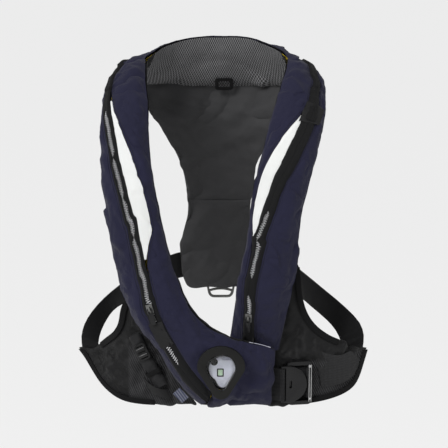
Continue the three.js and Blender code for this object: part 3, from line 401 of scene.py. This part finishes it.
def applied(bm, *modifiers):
    """The bmesh's mesh after modifiers, each (kind, settings)."""
    mesh = bpy.data.meshes.new("work")
    bm.to_mesh(mesh)
    bm.free()
    obj = add_object("work", mesh)
    for kind, settings in modifiers:
        modifier = obj.modifiers.new(kind, kind)
        for key, value in settings.items():
            setattr(modifier, key, value)
    result = bpy.data.meshes.new_from_object(obj.evaluated_get(bpy.context.evaluated_depsgraph_get()))
    bpy.data.objects.remove(obj)
    return result


def fine(bm, levels):
    """The bmesh's mesh divided smoothly, with its sharp edges kept nearly sharp."""
    layer = bm.edges.layers.float.get("crease_edge") or bm.edges.layers.float.new("crease_edge")
    for edge in bm.edges:
        if len(edge.link_faces) == 2 and edge.calc_face_angle(0) > SHARP_ANGLE:
            edge[layer] = SHARP_CREASE
    return applied(bm, ("SUBSURF", {"levels": levels, "render_levels": levels}))


def points_of(mesh):
    co = np.zeros(len(mesh.vertices) * 3)
    mesh.vertices.foreach_get("co", co)
    return co.reshape(-1, 3)


def normals_of(mesh):
    co = np.zeros(len(mesh.vertices) * 3)
    mesh.vertex_normals.foreach_get("vector", co)
    return co.reshape(-1, 3)


def move_points(mesh, co):
    mesh.vertices.foreach_set("co", co.astype(np.float32).ravel())
    mesh.update()


def tree_of(nodes):
    """A search tree of the faces of some CAD nodes."""
    verts, faces = [], []
    for node in nodes:
        mesh = NODES[node].data
        start = len(verts)
        verts += [v.co.copy() for v in mesh.vertices]
        faces += [[start + v for v in p.vertices] for p in mesh.polygons]
    return BVHTree.FromPolygons(verts, faces)


def show(name, mesh, material, node, detail=False):
    """Adds a finished piece that stands for a CAD node and rides with it, or is only a detail on it."""
    obj = add_object(name, mesh)
    mesh.materials.clear()
    mesh.materials.append(material)
    mesh.polygons.foreach_set("use_smooth", [True] * len(mesh.polygons))
    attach(obj, BODY_OF[node])
    if not detail:
        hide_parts(node)
    return obj


def waves(points, length, count, seed, along=None, spread=0.35):
    """A smooth random field with about one fold per length; its folds run along a direction, if given."""
    rng = np.random.default_rng(seed)
    total = np.zeros(len(points))
    for _ in range(count):
        direction = rng.normal(size=3)
        if along is not None:
            axis = np.array(along) / np.linalg.norm(along)
            direction -= axis * (direction @ axis) * (1 - spread)
        direction /= np.linalg.norm(direction)
        pace = 2 * np.pi / (length * rng.uniform(0.7, 1.5))
        total += np.sin(points @ direction * pace + rng.uniform(0, 2 * np.pi))
    return total / math.sqrt(count)


# ---------------------------------------------------------------- cloth
COVER = [
    "right_outer_panel", "right_zip_tape", "right_white_panel", "right_inner_panel", "right_lining",
    "collar_lower_panel", "collar_zip_tape", "collar_upper_panel", "collar_mesh",
    "left_outer_panel", "left_zip_tape", "left_white_panel", "left_inner_panel", "left_lining",
]
INSIDE = ["oral_tube", "oral_cap", "whistle", "inflator_body", "co2_cylinder"]  # in the bladder's hollows
PUFF_STEPS = 20


class Puff:
    """How a body of cloth moves when it is blown up a little and left to wrinkle between its held seams."""

    def __init__(self, nodes, voxel, pressure, slack, cap, hold):
        bm = bmesh.new()
        for node in nodes:
            bm.from_mesh(NODES[node].data)
        mesh = applied(bm, ("REMESH", {"mode": "VOXEL", "voxel_size": voxel}))
        obj = add_object("puff", mesh)
        rest = points_of(mesh)
        held = obj.vertex_groups.new(name="held")
        for index, weight in enumerate(hold(rest)):
            if weight > 0:
                held.add([index], float(weight), "REPLACE")
        modifier = obj.modifiers.new("puff", "CLOTH")
        settings = modifier.settings
        settings.quality = 6
        settings.mass = 0.2
        settings.tension_stiffness = 12
        settings.compression_stiffness = 12
        settings.shear_stiffness = 6
        settings.bending_stiffness = 0.15
        settings.use_pressure = True
        settings.uniform_pressure_force = pressure
        settings.shrink_min = -slack
        settings.vertex_group_mass = "held"
        settings.effector_weights.gravity = 0
        modifier.collision_settings.use_collision = False
        modifier.point_cache.frame_end = PUFF_STEPS + 1
        for step in range(1, PUFF_STEPS + 1):
            scene.frame_set(step)
        depsgraph = bpy.context.evaluated_depsgraph_get()
        moved = points_of(obj.evaluated_get(depsgraph).data) - rest
        reach = np.linalg.norm(moved, axis=1, keepdims=True)
        self.moved = moved * np.minimum(1, cap / np.maximum(reach, 1e-9))
        self.tree = kdtree.KDTree(len(rest))
        for index, point in enumerate(rest):
            self.tree.insert(point, index)
        self.tree.balance()
        bpy.data.objects.remove(obj)
        scene.frame_set(1)

    def at(self, points):
        """How far each point is carried, averaged from the nearest places on the blown-up body."""
        out = np.zeros_like(points)
        for index, point in enumerate(points):
            near = self.tree.find_n(point, 10)
            weights = np.array([1 / (distance + 0.003) for _, _, distance in near])
            out[index] = weights @ self.moved[[i for _, i, _ in near]] / weights.sum()
        return out


def seam_distance(points, tree, most=0.03):
    """Distance of each point from the neighbouring pieces, and the nearest place on them."""
    distance = np.full(len(points), most)
    nearest = points.copy()
    for index, point in enumerate(points):
        found = tree.find_nearest(Vector(point), most)
        if found[0] is not None:
            distance[index] = found[3]
            nearest[index] = found[0]
    return distance, nearest


def unwrap(mesh, across, along):
    """Texture coordinates in metres, from two functions of the points."""
    for layer in list(mesh.uv_layers):
        mesh.uv_layers.remove(layer)
    corners = np.zeros(len(mesh.loops), dtype=np.int32)
    mesh.loops.foreach_get("vertex_index", corners)
    co = points_of(mesh)
    spread = np.stack([across(co), along(co)], 1)[corners]
    mesh.uv_layers.new(name="UVMap").data.foreach_set("uv", spread.astype(np.float32).ravel())


def round_z(pivot, radius):
    """How far round an upright axis a point is, in metres at the given radius."""
    return lambda co: np.arctan2(co[:, 0] - pivot[0], co[:, 1] - pivot[1]) * radius


def height_of(co):
    return co[:, 2]


def aside_of(co):
    return co[:, 0]


def store(mesh, name, values):
    """Keeps a value for each point, for the materials to read."""
    layer = mesh.attributes.new(name, "FLOAT", "POINT")
    layer.data.foreach_set("value", values.astype(np.float32))


def tucked(co, reach, *edges):
    """Points moved under their neighbours: each edge is (height, shift), eased out over the reach."""
    out = co.copy()
    for height, shift in edges:
        near = np.clip(1 - np.abs(co[:, 2] - height) / reach, 0, 1)
        out[:, 2] += shift * near * near * (3 - 2 * near)
    return out


THICKEST = 0.03


def thickness_of(mesh, co, normals):
    """How thick a closed piece is under each of its points, measured straight inwards."""
    bm = bmesh.new()
    bm.from_mesh(mesh)
    tree = BVHTree.FromBMesh(bm)
    out = np.zeros(len(co))
    for index, (point, normal) in enumerate(zip(co, normals)):
        found = tree.ray_cast(Vector(point - normal * 0.0004), Vector(-normal), THICKEST)
        if found[0] is not None:
            out[index] = found[3]
    return out


def drawn_in(co, share, reach, kept_off):
    """Points moved a share of the way to the middle of what lies within reach, but not near some pieces."""
    clear, _ = seam_distance(co, tree_of(kept_off))
    shares = share * (clear / clear.max()) ** 3
    some = co[::4]
    out = co.copy()
    for index, point in enumerate(co):
        weights = np.exp(-(((some - point) ** 2).sum(axis=1) / reach**2))
        out[index] += shares[index] * (weights @ some / weights.sum() - point)
    return out


MEETING = 0.49  # the share of the gap that each of two neighbours crosses
GROOVE_REACH = 0.0022
SEAM_REACH = 0.008
TUCK_REACH = 0.02


def sewn(name, material, levels, neighbours, puff=None, folds=(), groove=0.0007, close=0.0012,
         across=None, along=None, tuck=(), slim=0.0):
    """A sewn cloth piece: the CAD panel made smooth, closed up to its neighbours and sunk at the seams.

    It is carried by the puff and wrinkled by folds, each (length, height, seed, direction). The tuck
    shifts it under its neighbours, and slim takes a share of its thickness off either side.
    """
    mesh = fine(merged(name), levels)
    co = points_of(mesh)
    tree = tree_of([n for n in neighbours if n != name])
    distance, nearest = seam_distance(co, tree)
    touching = distance < close
    co[touching] += MEETING * (nearest - co)[touching]
    normals = normals_of(mesh)
    if tuck:
        co = tucked(co, TUCK_REACH, *tuck)
    rise = -groove * np.exp(-((distance / GROOVE_REACH) ** 2))
    if slim:
        rise -= slim * thickness_of(mesh, co, normals)
        co = drawn_in(co, 0.13, 0.035, INSIDE)
    away = 1 - np.exp(-((distance / SEAM_REACH) ** 2))
    for length, height, seed, lie in folds:
        rise += away * height * waves(co, length, 14, seed, lie)
    shift = puff.at(co) if puff else np.zeros_like(co)
    move_points(mesh, co + shift + normals * rise[:, None])
    store(mesh, "seam", distance)
    if across is not None:
        unwrap(mesh, across, along)
    obj = show(name + "_cloth", mesh, material, name)
    return obj


def hard(name, material, bevel, segments=3, across=None, along=None):
    """A rigid piece: the CAD body with its edges rounded over."""
    rim = {"width": bevel, "segments": segments, "limit_method": "ANGLE", "angle_limit": math.radians(28)}
    mesh = applied(merged(name, planar=True), ("BEVEL", rim))
    if across is not None:
        unwrap(mesh, across, along)
    obj = show(name + "_piece", mesh, material, name)
    mesh.set_sharp_from_angle(angle=math.radians(35))
    return obj


# ---------------------------------------------------------------- spines of zips
class Spine:
    """The middle line of a strip-like CAD node, found where planes that turn about a pivot cut it."""

    def __init__(self, node, pivot, axis, start, end, count, smoothing, pitch):
        mesh = NODES[node].data
        co = points_of(mesh)
        self.tree = tree_of([node])
        edges = np.array([e.vertices[:] for e in mesh.edges])
        pivot = np.array(pivot)
        rows = []
        for angle in np.radians(np.linspace(start, end, count)):
            c, s = math.cos(angle), math.sin(angle)
            away = np.array((c, s, 0) if axis == "z" else (0, c, s))
            facing = np.array((-s, c, 0) if axis == "z" else (0, -s, c))
            height = (co - pivot) @ facing
            low, high = height[edges[:, 0]], height[edges[:, 1]]
            crossing = (low < 0) != (high < 0)
            share = (low / (low - high + 1e-15))[crossing][:, None]
            first, second = co[edges[crossing, 0]], co[edges[crossing, 1]]
            hits = first + (second - first) * share
            hits = hits[(hits - pivot) @ away > 0]
            if len(hits) >= 4:
                rows.append(self.measure(hits))
        middle = np.array([r[0] for r in rows])
        across = np.array([r[1] for r in rows])
        width = np.array([r[2] for r in rows])
        for k in range(1, len(across)):
            if across[k] @ across[k - 1] < 0:
                across[k] = -across[k]
        middle, across, width = (self.smoothed(a, smoothing) for a in (middle, across, width))
        steps = np.linalg.norm(np.diff(middle, axis=0), axis=1)
        length = np.concatenate([[0], np.cumsum(steps)])
        self.s = np.linspace(0, length[-1], int(length[-1] / pitch) + 1)
        self.middle = np.stack([np.interp(self.s, length, middle[:, k]) for k in range(3)], 1)
        self.across = np.stack([np.interp(self.s, length, across[:, k]) for k in range(3)], 1)
        self.width = np.interp(self.s, length, width)
        along = np.gradient(self.middle, axis=0)
        self.along = along / np.linalg.norm(along, axis=1, keepdims=True)
        self.across -= self.along * np.sum(self.across * self.along, 1, keepdims=True)
        self.across /= np.linalg.norm(self.across, axis=1, keepdims=True)
        self.up = np.cross(self.along, self.across)
        keep = np.ones(3)
        keep[2 if axis == "z" else 0] = 0
        inside = np.sum(self.up * (self.middle - pivot) * keep, 1) < 0
        self.up[inside] *= -1

    @staticmethod
    def measure(hits):
        """Middle, direction and width of one cut through the strip."""
        centre = hits.mean(0)
        _, _, axes = np.linalg.svd(hits - centre, full_matrices=False)
        spread = (hits - centre) @ axes[0]
        low = hits[spread < spread.min() + 0.0004].mean(0)
        high = hits[spread > spread.max() - 0.0004].mean(0)
        return (low + high) / 2, axes[0], np.linalg.norm(high - low)

    @staticmethod
    def smoothed(values, window):
        """Rows averaged over a window, carried on in line past both ends."""
        kernel = np.hanning(2 * window + 3)[1:-1]
        kernel /= kernel.sum()
        flat = values.reshape(len(values), -1)
        before = 2 * flat[:1] - flat[window:0:-1]
        after = 2 * flat[-1:] - flat[-2:-window - 2:-1]
        padded = np.concatenate([before, flat, after])
        out = np.stack([np.convolve(padded[:, k], kernel, "valid") for k in range(flat.shape[1])], 1)
        return out.reshape(values.shape)

    def crest(self):
        """How far the surface under the middle line stands above it, row by row."""
        out = []
        for middle, up in zip(self.middle, self.up):
            found = self.tree.ray_cast(Vector(middle + up * PROBE), Vector(-up), 2 * PROBE)
            out.append(PROBE - found[3] if found[0] is not None else (out[-1] if out else 0.002))
        return self.smoothed(np.array(out)[:, None], 3)[:, 0]


def band(first, second, count):
    """The faces between two closed rings of points, given where each ring starts."""
    return [(first + k, first + (k + 1) % count, second + (k + 1) % count, second + k) for k in range(count)]


def mesh_from(name, verts, faces):
    """A mesh from points and faces, with all its normals outwards."""
    mesh = bpy.data.meshes.new(name)
    mesh.from_pydata([tuple(v) for v in verts], [], faces)
    bm = bmesh.new()
    bm.from_mesh(mesh)
    bmesh.ops.recalc_face_normals(bm, faces=bm.faces)
    bm.to_mesh(mesh)
    bm.free()
    return mesh


def puffed(mesh):
    """The mesh carried along with the cover it lies on."""
    if PUFF:
        co = points_of(mesh)
        move_points(mesh, co + PUFF.at(co))
    return mesh


TOOTH_FOOT = 0.0034  # how far from the middle line a tooth starts
TOOTH_TIP = -0.0006  # a little past the middle line, where it meets the teeth of the other side
TOOTH_BELOW, TOOTH_ABOVE = 0.0006, 0.0007  # its height either side of the crest
TOOTH_LOW_HALF, TOOTH_TOP_HALF = 0.00062, 0.00052  # half its length along the zip
CHAIN_SIDE = 0.0044  # half the width over which a flap lies flat on the chain
FLAP_THICK = 0.0009
FLAP_PAST = 0.0008  # how far a flap reaches past the tape, onto the cover
FLAP_SUNK = 0.0006  # how deep its outer edge sits in the cover
FLAP_OVER = 0.0015  # how high it lies over the crest
HEM_DIP = 0.0005
CHAIN_OPEN = 0.0035  # how far each flap's edge moves from its closed place where the chain shows
CHAIN_CLOSED = -0.0007
CHAIN_FADE = 0.009  # length over which a flap closes


def zip_teeth(name, spine, base, gap, node):
    """Teeth from both sides, set by turns along the middle line, where the flaps leave a gap."""
    verts, faces = [], []
    for k in range(2, len(spine.s) - 2):
        if gap[k] < 0:
            continue
        side = 1 if k % 2 else -1
        start = len(verts)
        for height in (base[k] - TOOTH_BELOW, base[k] + TOOTH_ABOVE):
            narrow = TOOTH_TOP_HALF if height > base[k] else TOOTH_LOW_HALF
            for aside, length in ((TOOTH_TIP, narrow * 0.9), (TOOTH_FOOT, narrow)):
                for way in (-1, 1):
                    offset = side * aside * spine.across[k] + way * length * spine.along[k]
                    verts.append(spine.middle[k] + offset + spine.up[k] * height)
        a, b, c, d, e, f, g, h = range(start, start + 8)
        faces += [(a, b, d, c), (e, g, h, f), (a, e, f, b), (c, d, h, g), (a, c, g, e), (b, f, h, d)]
    return show(name, puffed(mesh_from(name, verts, faces)), TOOTH, node, detail=True)


def zip_flap(name, spine, base, side, gap, node):
    """One edge of the tape, folded over the teeth as far as the gap leaves it."""
    verts, faces = [], []
    steps = 6
    tree = tree_of(COVER)
    for k in range(len(spine.s)):
        edge = spine.width[k] / 2 + FLAP_PAST
        spot = spine.middle[k] + side * edge * spine.across[k]
        found = tree.ray_cast(Vector(spot + spine.up[k] * PROBE), Vector(-spine.up[k]), 2 * PROBE)
        outer = (PROBE - found[3] if found[0] is not None else base[k]) - FLAP_SUNK
        inner = base[k] + FLAP_OVER
        wobble = 0.00035 * math.sin(spine.s[k] * 410 + side) + 0.0004 * math.sin(spine.s[k] * 173 + 2 * side)
        hem = gap[k] + wobble
        for layer in (0, -FLAP_THICK):
            for j in range(steps + 1):
                f = j / steps if layer == 0 else 1 - j / steps
                aside = side * (edge + (hem - edge) * f)
                climb = min(1, (edge - abs(aside)) / max(edge - CHAIN_SIDE, 0.001))
                rise = outer + (inner - outer) * math.sin(max(0, climb) * math.pi / 2) - HEM_DIP * (f == 1)
                verts.append(spine.middle[k] + spine.across[k] * aside + spine.up[k] * (rise + layer))
    n = 2 * (steps + 1)
    rows = len(spine.s)
    for r in range(rows - 1):
        faces += band(r * n, (r + 1) * n, n)
    faces += [tuple(range(n - 1, -1, -1)), tuple((rows - 1) * n + k for k in range(n))]
    mesh = puffed(mesh_from(name, verts, faces))
    unwrap(mesh, aside_of, height_of)
    return show(name, mesh, TAPE, node, detail=True)


def opened(heights, ranges):
    """1 inside the ranges and 0 outside."""
    out = np.zeros(len(heights))
    for low, high in ranges:
        rise = np.clip((heights - low) / CHAIN_FADE, 0, 1) * np.clip((high - heights) / CHAIN_FADE, 0, 1)
        out = np.maximum(out, rise)
    return out


# ---------------------------------------------------------------- the cover
def held_at_window(points):
    """1 at the window's frame, where the cover is glued down, falling to 0 a little away from it."""
    distance, _ = seam_distance(points, tree_of(["window_frame"]), 0.02)
    return np.exp(-((distance / SEAM_REACH) ** 2))


PUFF = None
PUFF = Puff(COVER, voxel=0.005, pressure=2.5, slack=0.05, cap=0.0045, hold=held_at_window)
LOBE_FOLDS = (
    (0.060, 0.0020, 3, (0.5, 0.1, -1)),
    (0.026, 0.0014, 7, (0.9, 0.0, -0.6)),
    (0.012, 0.0005, 11, None),
)
for side in ("right", "left"):
    for part in ("outer", "inner"):
        sewn(f"{side}_{part}_panel", NAVY, 3, COVER, PUFF, LOBE_FOLDS)
    sewn(f"{side}_white_panel", WHITE, 3, COVER, PUFF, ((0.020, 0.0004, 5, (1, 0, 0.6)),))
    sewn(f"{side}_lining", BLACK, 3, COVER, PUFF, LOBE_FOLDS)
for name in ("collar_lower_panel", "collar_upper_panel"):
    sewn(name, NAVY, 3, COVER, PUFF, LOBE_FOLDS)
sewn("collar_mesh", COLLAR_MESH, 3, COVER, PUFF, ((0.035, 0.0006, 9, None),),
     across=round_z((0, 0.02), 0.11), along=height_of)
for name in ("right_zip_tape", "left_zip_tape", "collar_zip_tape"):
    sewn(name, TAPE, 2, COVER, PUFF, across=aside_of, along=height_of)
sewn("bladder", BLADDER, 2, ["bladder"], PUFF, ((0.03, 0.001, 41, None),), slim=0.40)

# ---------------------------------------------------------------- zips
ZIP_PIVOT = (0, 0.060, -0.300)
# Heights between which the chain shows between its flaps.
SHOWN = {
    "right": ((-0.130, -0.070), (-0.184, -0.126), (-0.238, -0.180), (-0.374, -0.234), (-0.414, -0.376)),
    "left": ((-0.244, -0.196), (-0.294, -0.240), (-0.356, -0.312)),
    "collar": ((-1, 1),),
}
SPINES = {
    "right": Spine("right_zip_tape", ZIP_PIVOT, "x", 87, 222, 130, 4, 0.0016),
    "left": Spine("left_zip_tape", ZIP_PIVOT, "x", 87, 222, 130, 4, 0.0016),
    "collar": Spine("collar_zip_tape", (0, 0.020, 0), "z", 48, 132, 60, 3, 0.0016),
}
for side, spine in SPINES.items():
    crest = spine.crest()
    node = f"{side}_zip_tape"
    gap = CHAIN_CLOSED + CHAIN_OPEN * opened(spine.middle[:, 2], SHOWN[side])
    zip_teeth(f"{side}_zip_teeth", spine, crest, gap, node)
    for way, label in ((1, "upper"), (-1, "lower")):
        zip_flap(f"{side}_zip_flap_{label}", spine, crest, way, gap, node)


BACK = ["back_panel", "back_pad", "collar_mesh"]
BACK_FOLDS = (
    (0.08, 0.0042, 21, (0.6, 0, 1)),
    (0.03, 0.0014, 23, (1, 0, 0.3)),
    (0.015, 0.0004, 22, None),
)
sewn("back_panel", CHARCOAL, 3, BACK, None, BACK_FOLDS, tuck=((-0.066, 0.007), (-0.241, -0.003)))
sewn("back_pad", CHARCOAL, 3, BACK, None, BACK_FOLDS)
WING_FOLDS = (
    (0.055, 0.0036, 31, (1, 0, 0.5)),
    (0.022, 0.0020, 33, (0.4, 0, 1)),
    (0.010, 0.0004, 35, None),
)
RIBS_FROM = {"right": (-0.128, -0.400), "left": (0.128, -0.425)}  # where the ribs start across, and their top
for side in ("right", "left"):
    edging = [f"{side}_wing_binding", f"{side}_wing_hem", "waist_belt"]
    wing = sewn(f"{side}_wing", WING_CLOTH, 4, edging, None, WING_FOLDS, groove=0.0, close=0.0001)
    place = points_of(wing.data)
    start, top = RIBS_FROM[side]
    ribs = np.clip((place[:, 0] - start) / 0.004, 0, 1) * np.clip((top - place[:, 2]) / 0.006, 0, 1)
    store(wing.data, "ribbed", ribs)
    for part in ("binding", "hem"):
        sewn(f"{side}_wing_{part}", FLAT_WEB, 2, [f"{side}_wing_{part}"], None)
patch = sewn("left_wing_mesh", WING_MESH, 3, ["left_wing_mesh"], None, across=aside_of, along=height_of)
sewn("stowed_strap", PAD_CLOTH, 3, ["stowed_strap"], None, ((0.012, 0.0004, 51, None),))
for side in ("right", "left"):
    garage = sewn(f"{side}_zip_garage", BLACK, 3, [f"{side}_zip_garage"], None, ((0.01, 0.0003, 61, None),))
hard("waist_belt", WEB, 0.0007, 2, across=height_of, along=round_z((0, 0.040), 0.15))
for name in ("front_belt", "bar_loop"):
    hard(name, FRONT_WEB, 0.0006, 2, across=aside_of, along=height_of)
for name in ("right_belt_keeper", "left_belt_keeper", "ring_loop", "hanging_loop", "strap_band"):
    hard(name, FLAT_WEB, 0.0006, 2)

# ---------------------------------------------------------------- behind the window
# Places in the window's own directions: x to the wearer's left, y up, z out of the jacket, in millimetres.
SEAT = np.array((0.005, -0.1625, -0.419))
SEAT_AXES = np.array(((1, 0, 0), (0, 0.04, 0.9992), (0, -0.9992, 0.04)))


def curve(points, steps=10):
    """Points along a Bezier curve, without its last one."""
    out = []
    for f in np.linspace(0, 1, steps, endpoint=False):
        level = np.array(points, float)
        while len(level) > 1:
            level = level[:-1] * (1 - f) + level[1:] * f
        out.append(tuple(level[0]))
    return out


def plectrum(width, height, x=0.0, y=0.0):
    """The window's outline: two straight lower sides that meet at the foot, and an arc over the top."""
    w, top, foot = width / 2, height * 0.48, 0.13 * height
    side = (w * 0.97, height * 0.02)
    arc = curve([side, (w * 1.1, top * 0.5), (w * 0.62, top), (0, top)])
    back = [(-a, b) for a, b in reversed(arc)]
    tip = curve([(-foot, -0.46 * height), (0, -0.58 * height), (foot, -0.46 * height)])
    outline = tip + arc + [(0, top)] + back[:-1] + [(-side[0], side[1])]
    return [(x + a, y + b) for a, b in outline]


def rectangle(width, height, x=0.0, y=0.0, radius=1.0):
    """An upright rectangle with rounded corners."""
    out = []
    for cx, cy, turn in ((1, -1, -90), (1, 1, 0), (-1, 1, 90), (-1, -1, 180)):
        for a in np.radians(turn + np.array((0, 30, 60, 90))):
            out.append((x + cx * (width / 2 - radius) + radius * math.cos(a),
                        y + cy * (height / 2 - radius) + radius * math.sin(a)))
    return out


def in_window(x, y, z):
    return SEAT + (x * SEAT_AXES[0] + y * SEAT_AXES[1] + z * SEAT_AXES[2]) * MM


def plate(name, outline, low, high, material, node, bevel=0.0005, hole=None):
    """A flat piece in the window, between two depths. A hole's outline has as many points as the piece's."""
    levels = [(outline, low), (outline, high)]
    if hole is not None:
        levels += [(hole, high), (hole, low)]
    verts = [in_window(x, y, z) for line, z in levels for x, y in line]
    n = len(outline)
    rows = len(levels)
    faces = []
    for r in range(rows - 1 if hole is None else rows):
        faces += band(r * n, (r + 1) % rows * n, n)
    if hole is None:
        faces += [tuple(range(n - 1, -1, -1)), tuple(n + k for k in range(n))]
    bm = bmesh.new()
    bm.from_mesh(mesh_from(name, verts, faces))
    rim = {"width": bevel, "segments": 3, "limit_method": "ANGLE", "angle_limit": math.radians(40)}
    mesh = applied(bm, ("BEVEL", rim))
    obj = show(name, mesh, material, node, detail=True)
    mesh.set_sharp_from_angle(angle=math.radians(35))
    return obj


def disc(radius, x, y):
    turns = np.linspace(0, 2 * np.pi, 28, endpoint=False)
    return [(x + radius * math.cos(a), y + radius * math.sin(a)) for a in turns]


plate("window_tray", plectrum(46, 55), -9.5, -8, PLASTIC, "inflator_body")
plate("window_bezel", plectrum(35, 45, 2.0, -1.5), -7.6, -3.7, PALE, "inflator_cap", 0.0014)
plate("window_knob", disc(5.2, -9.5, 12), -5, -2.6, PLASTIC, "inflator_body", 0.0009)
plate("window_band", rectangle(15, 4.6, 8.5, 16.5, 1.6), -5, -2.9, PALE_SHADE, "inflator_cap", 0.0007)
bracket = rectangle(9.4, 11.6, -1, -3)
plate("indicator_bracket", bracket, -3.6, -2.5, PLASTIC, "inflator_body", 0.0003, rectangle(6.6, 8.6, -1, -3))
# A thin grey ring round the lens, standing in for the highlight along its edge.
plate("lens_edge_highlight_ring", plectrum(45.5, 54.5), 1.7, 3.0, LENS_EDGE_HIGHLIGHT, "window_frame", 0.0004, plectrum(42, 51))

# ---------------------------------------------------------------- rods and piping
def rod(name, points, radius, material, node):
    """A round wire through some points, with rounded corners."""
    line = bpy.data.curves.new(name, "CURVE")
    line.dimensions = "3D"
    line.bevel_depth = radius
    line.bevel_resolution = 3
    line.use_fill_caps = True
    spline = line.splines.new("POLY")
    spline.points.add(len(points) - 1)
    for spot, point in zip(spline.points, points):
        spot.co = (*point, 1)
    made = add_object(name + "_line", line)
    mesh = bpy.data.meshes.new_from_object(made.evaluated_get(bpy.context.evaluated_depsgraph_get()))
    bpy.data.objects.remove(made)
    return show(name, mesh, material, node, detail=True)


# The buckle's own place and directions, which its two wires follow.
BUCKLE = np.array((0.115, -0.1024, -0.455))
BUCKLE_X = np.array((0.98645, 0.16408, 0))
BUCKLE_Z = np.array((0.16408, -0.98645, 0))
for label, aside, out in (("outer", 16.1, 10.1), ("inner", 13.1, 10.1)):
    foot = BUCKLE + (BUCKLE_X * aside + BUCKLE_Z * out) * MM
    ends = [foot + np.array((0, 0, z)) for z in np.linspace(-0.0275, 0.0275, 12)]
    rod(f"buckle_wire_{label}", ends, 0.00045, STEEL, "buckle_bar")
PIPING = [
    (0.044, -0.1316, -0.3873), (0.050, -0.1308, -0.3888), (0.056, -0.1298, -0.3902),
    (0.062, -0.1288, -0.3921), (0.068, -0.1278, -0.3942), (0.074, -0.1262, -0.3966),
]
rod("cross_piece_piping", PIPING, 0.0004, PALE_SHADE, "right_inner_panel")

# ---------------------------------------------------------------- rigid pieces
for name, material, bevel in (
    ("window_frame", RUBBER, 0.0022), ("window_lens", LENS, 0.0003), ("inflator_body", PLASTIC, 0.0006),
    ("inflator_cap", PALE, 0.0008), ("status_indicator", GREEN, 0.0004), ("inflator_lever", YELLOW, 0.0004),
    ("co2_cylinder", STEEL, 0.0004), ("pull_toggle", YELLOW, 0.001),
    ("oral_tube", RUBBER, 0.0004), ("oral_cap", YELLOW, 0.0004), ("whistle", YELLOW, 0.0005),
    ("right_zip_slider", DARK_STEEL, 0.0004), ("left_zip_slider", DARK_STEEL, 0.0004),
    ("right_zip_pull", PLASTIC, 0.0003), ("left_zip_pull", PLASTIC, 0.0003),
    ("crotch_ring", DARK_STEEL, 0.0008),
    ("strap_clip", PLASTIC, 0.0004), ("strap_pocket", BLACK, 0.0004), ("woven_tag", TAG, 0.0002),
    ("buckle_frame", PLASTIC, 0.0010), ("buckle_bar", STEEL, 0.0003), ("buckle_tongue", PLASTIC, 0.0010),
):
    hard(name, material, bevel)

# ---------------------------------------------------------------- the cord, from the lever to the toggle
pull_cord = hard("pull_cord", BLACK, 0.0001)
pull_cord.parent = None
del pull_cord["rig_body"]
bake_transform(pull_cord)
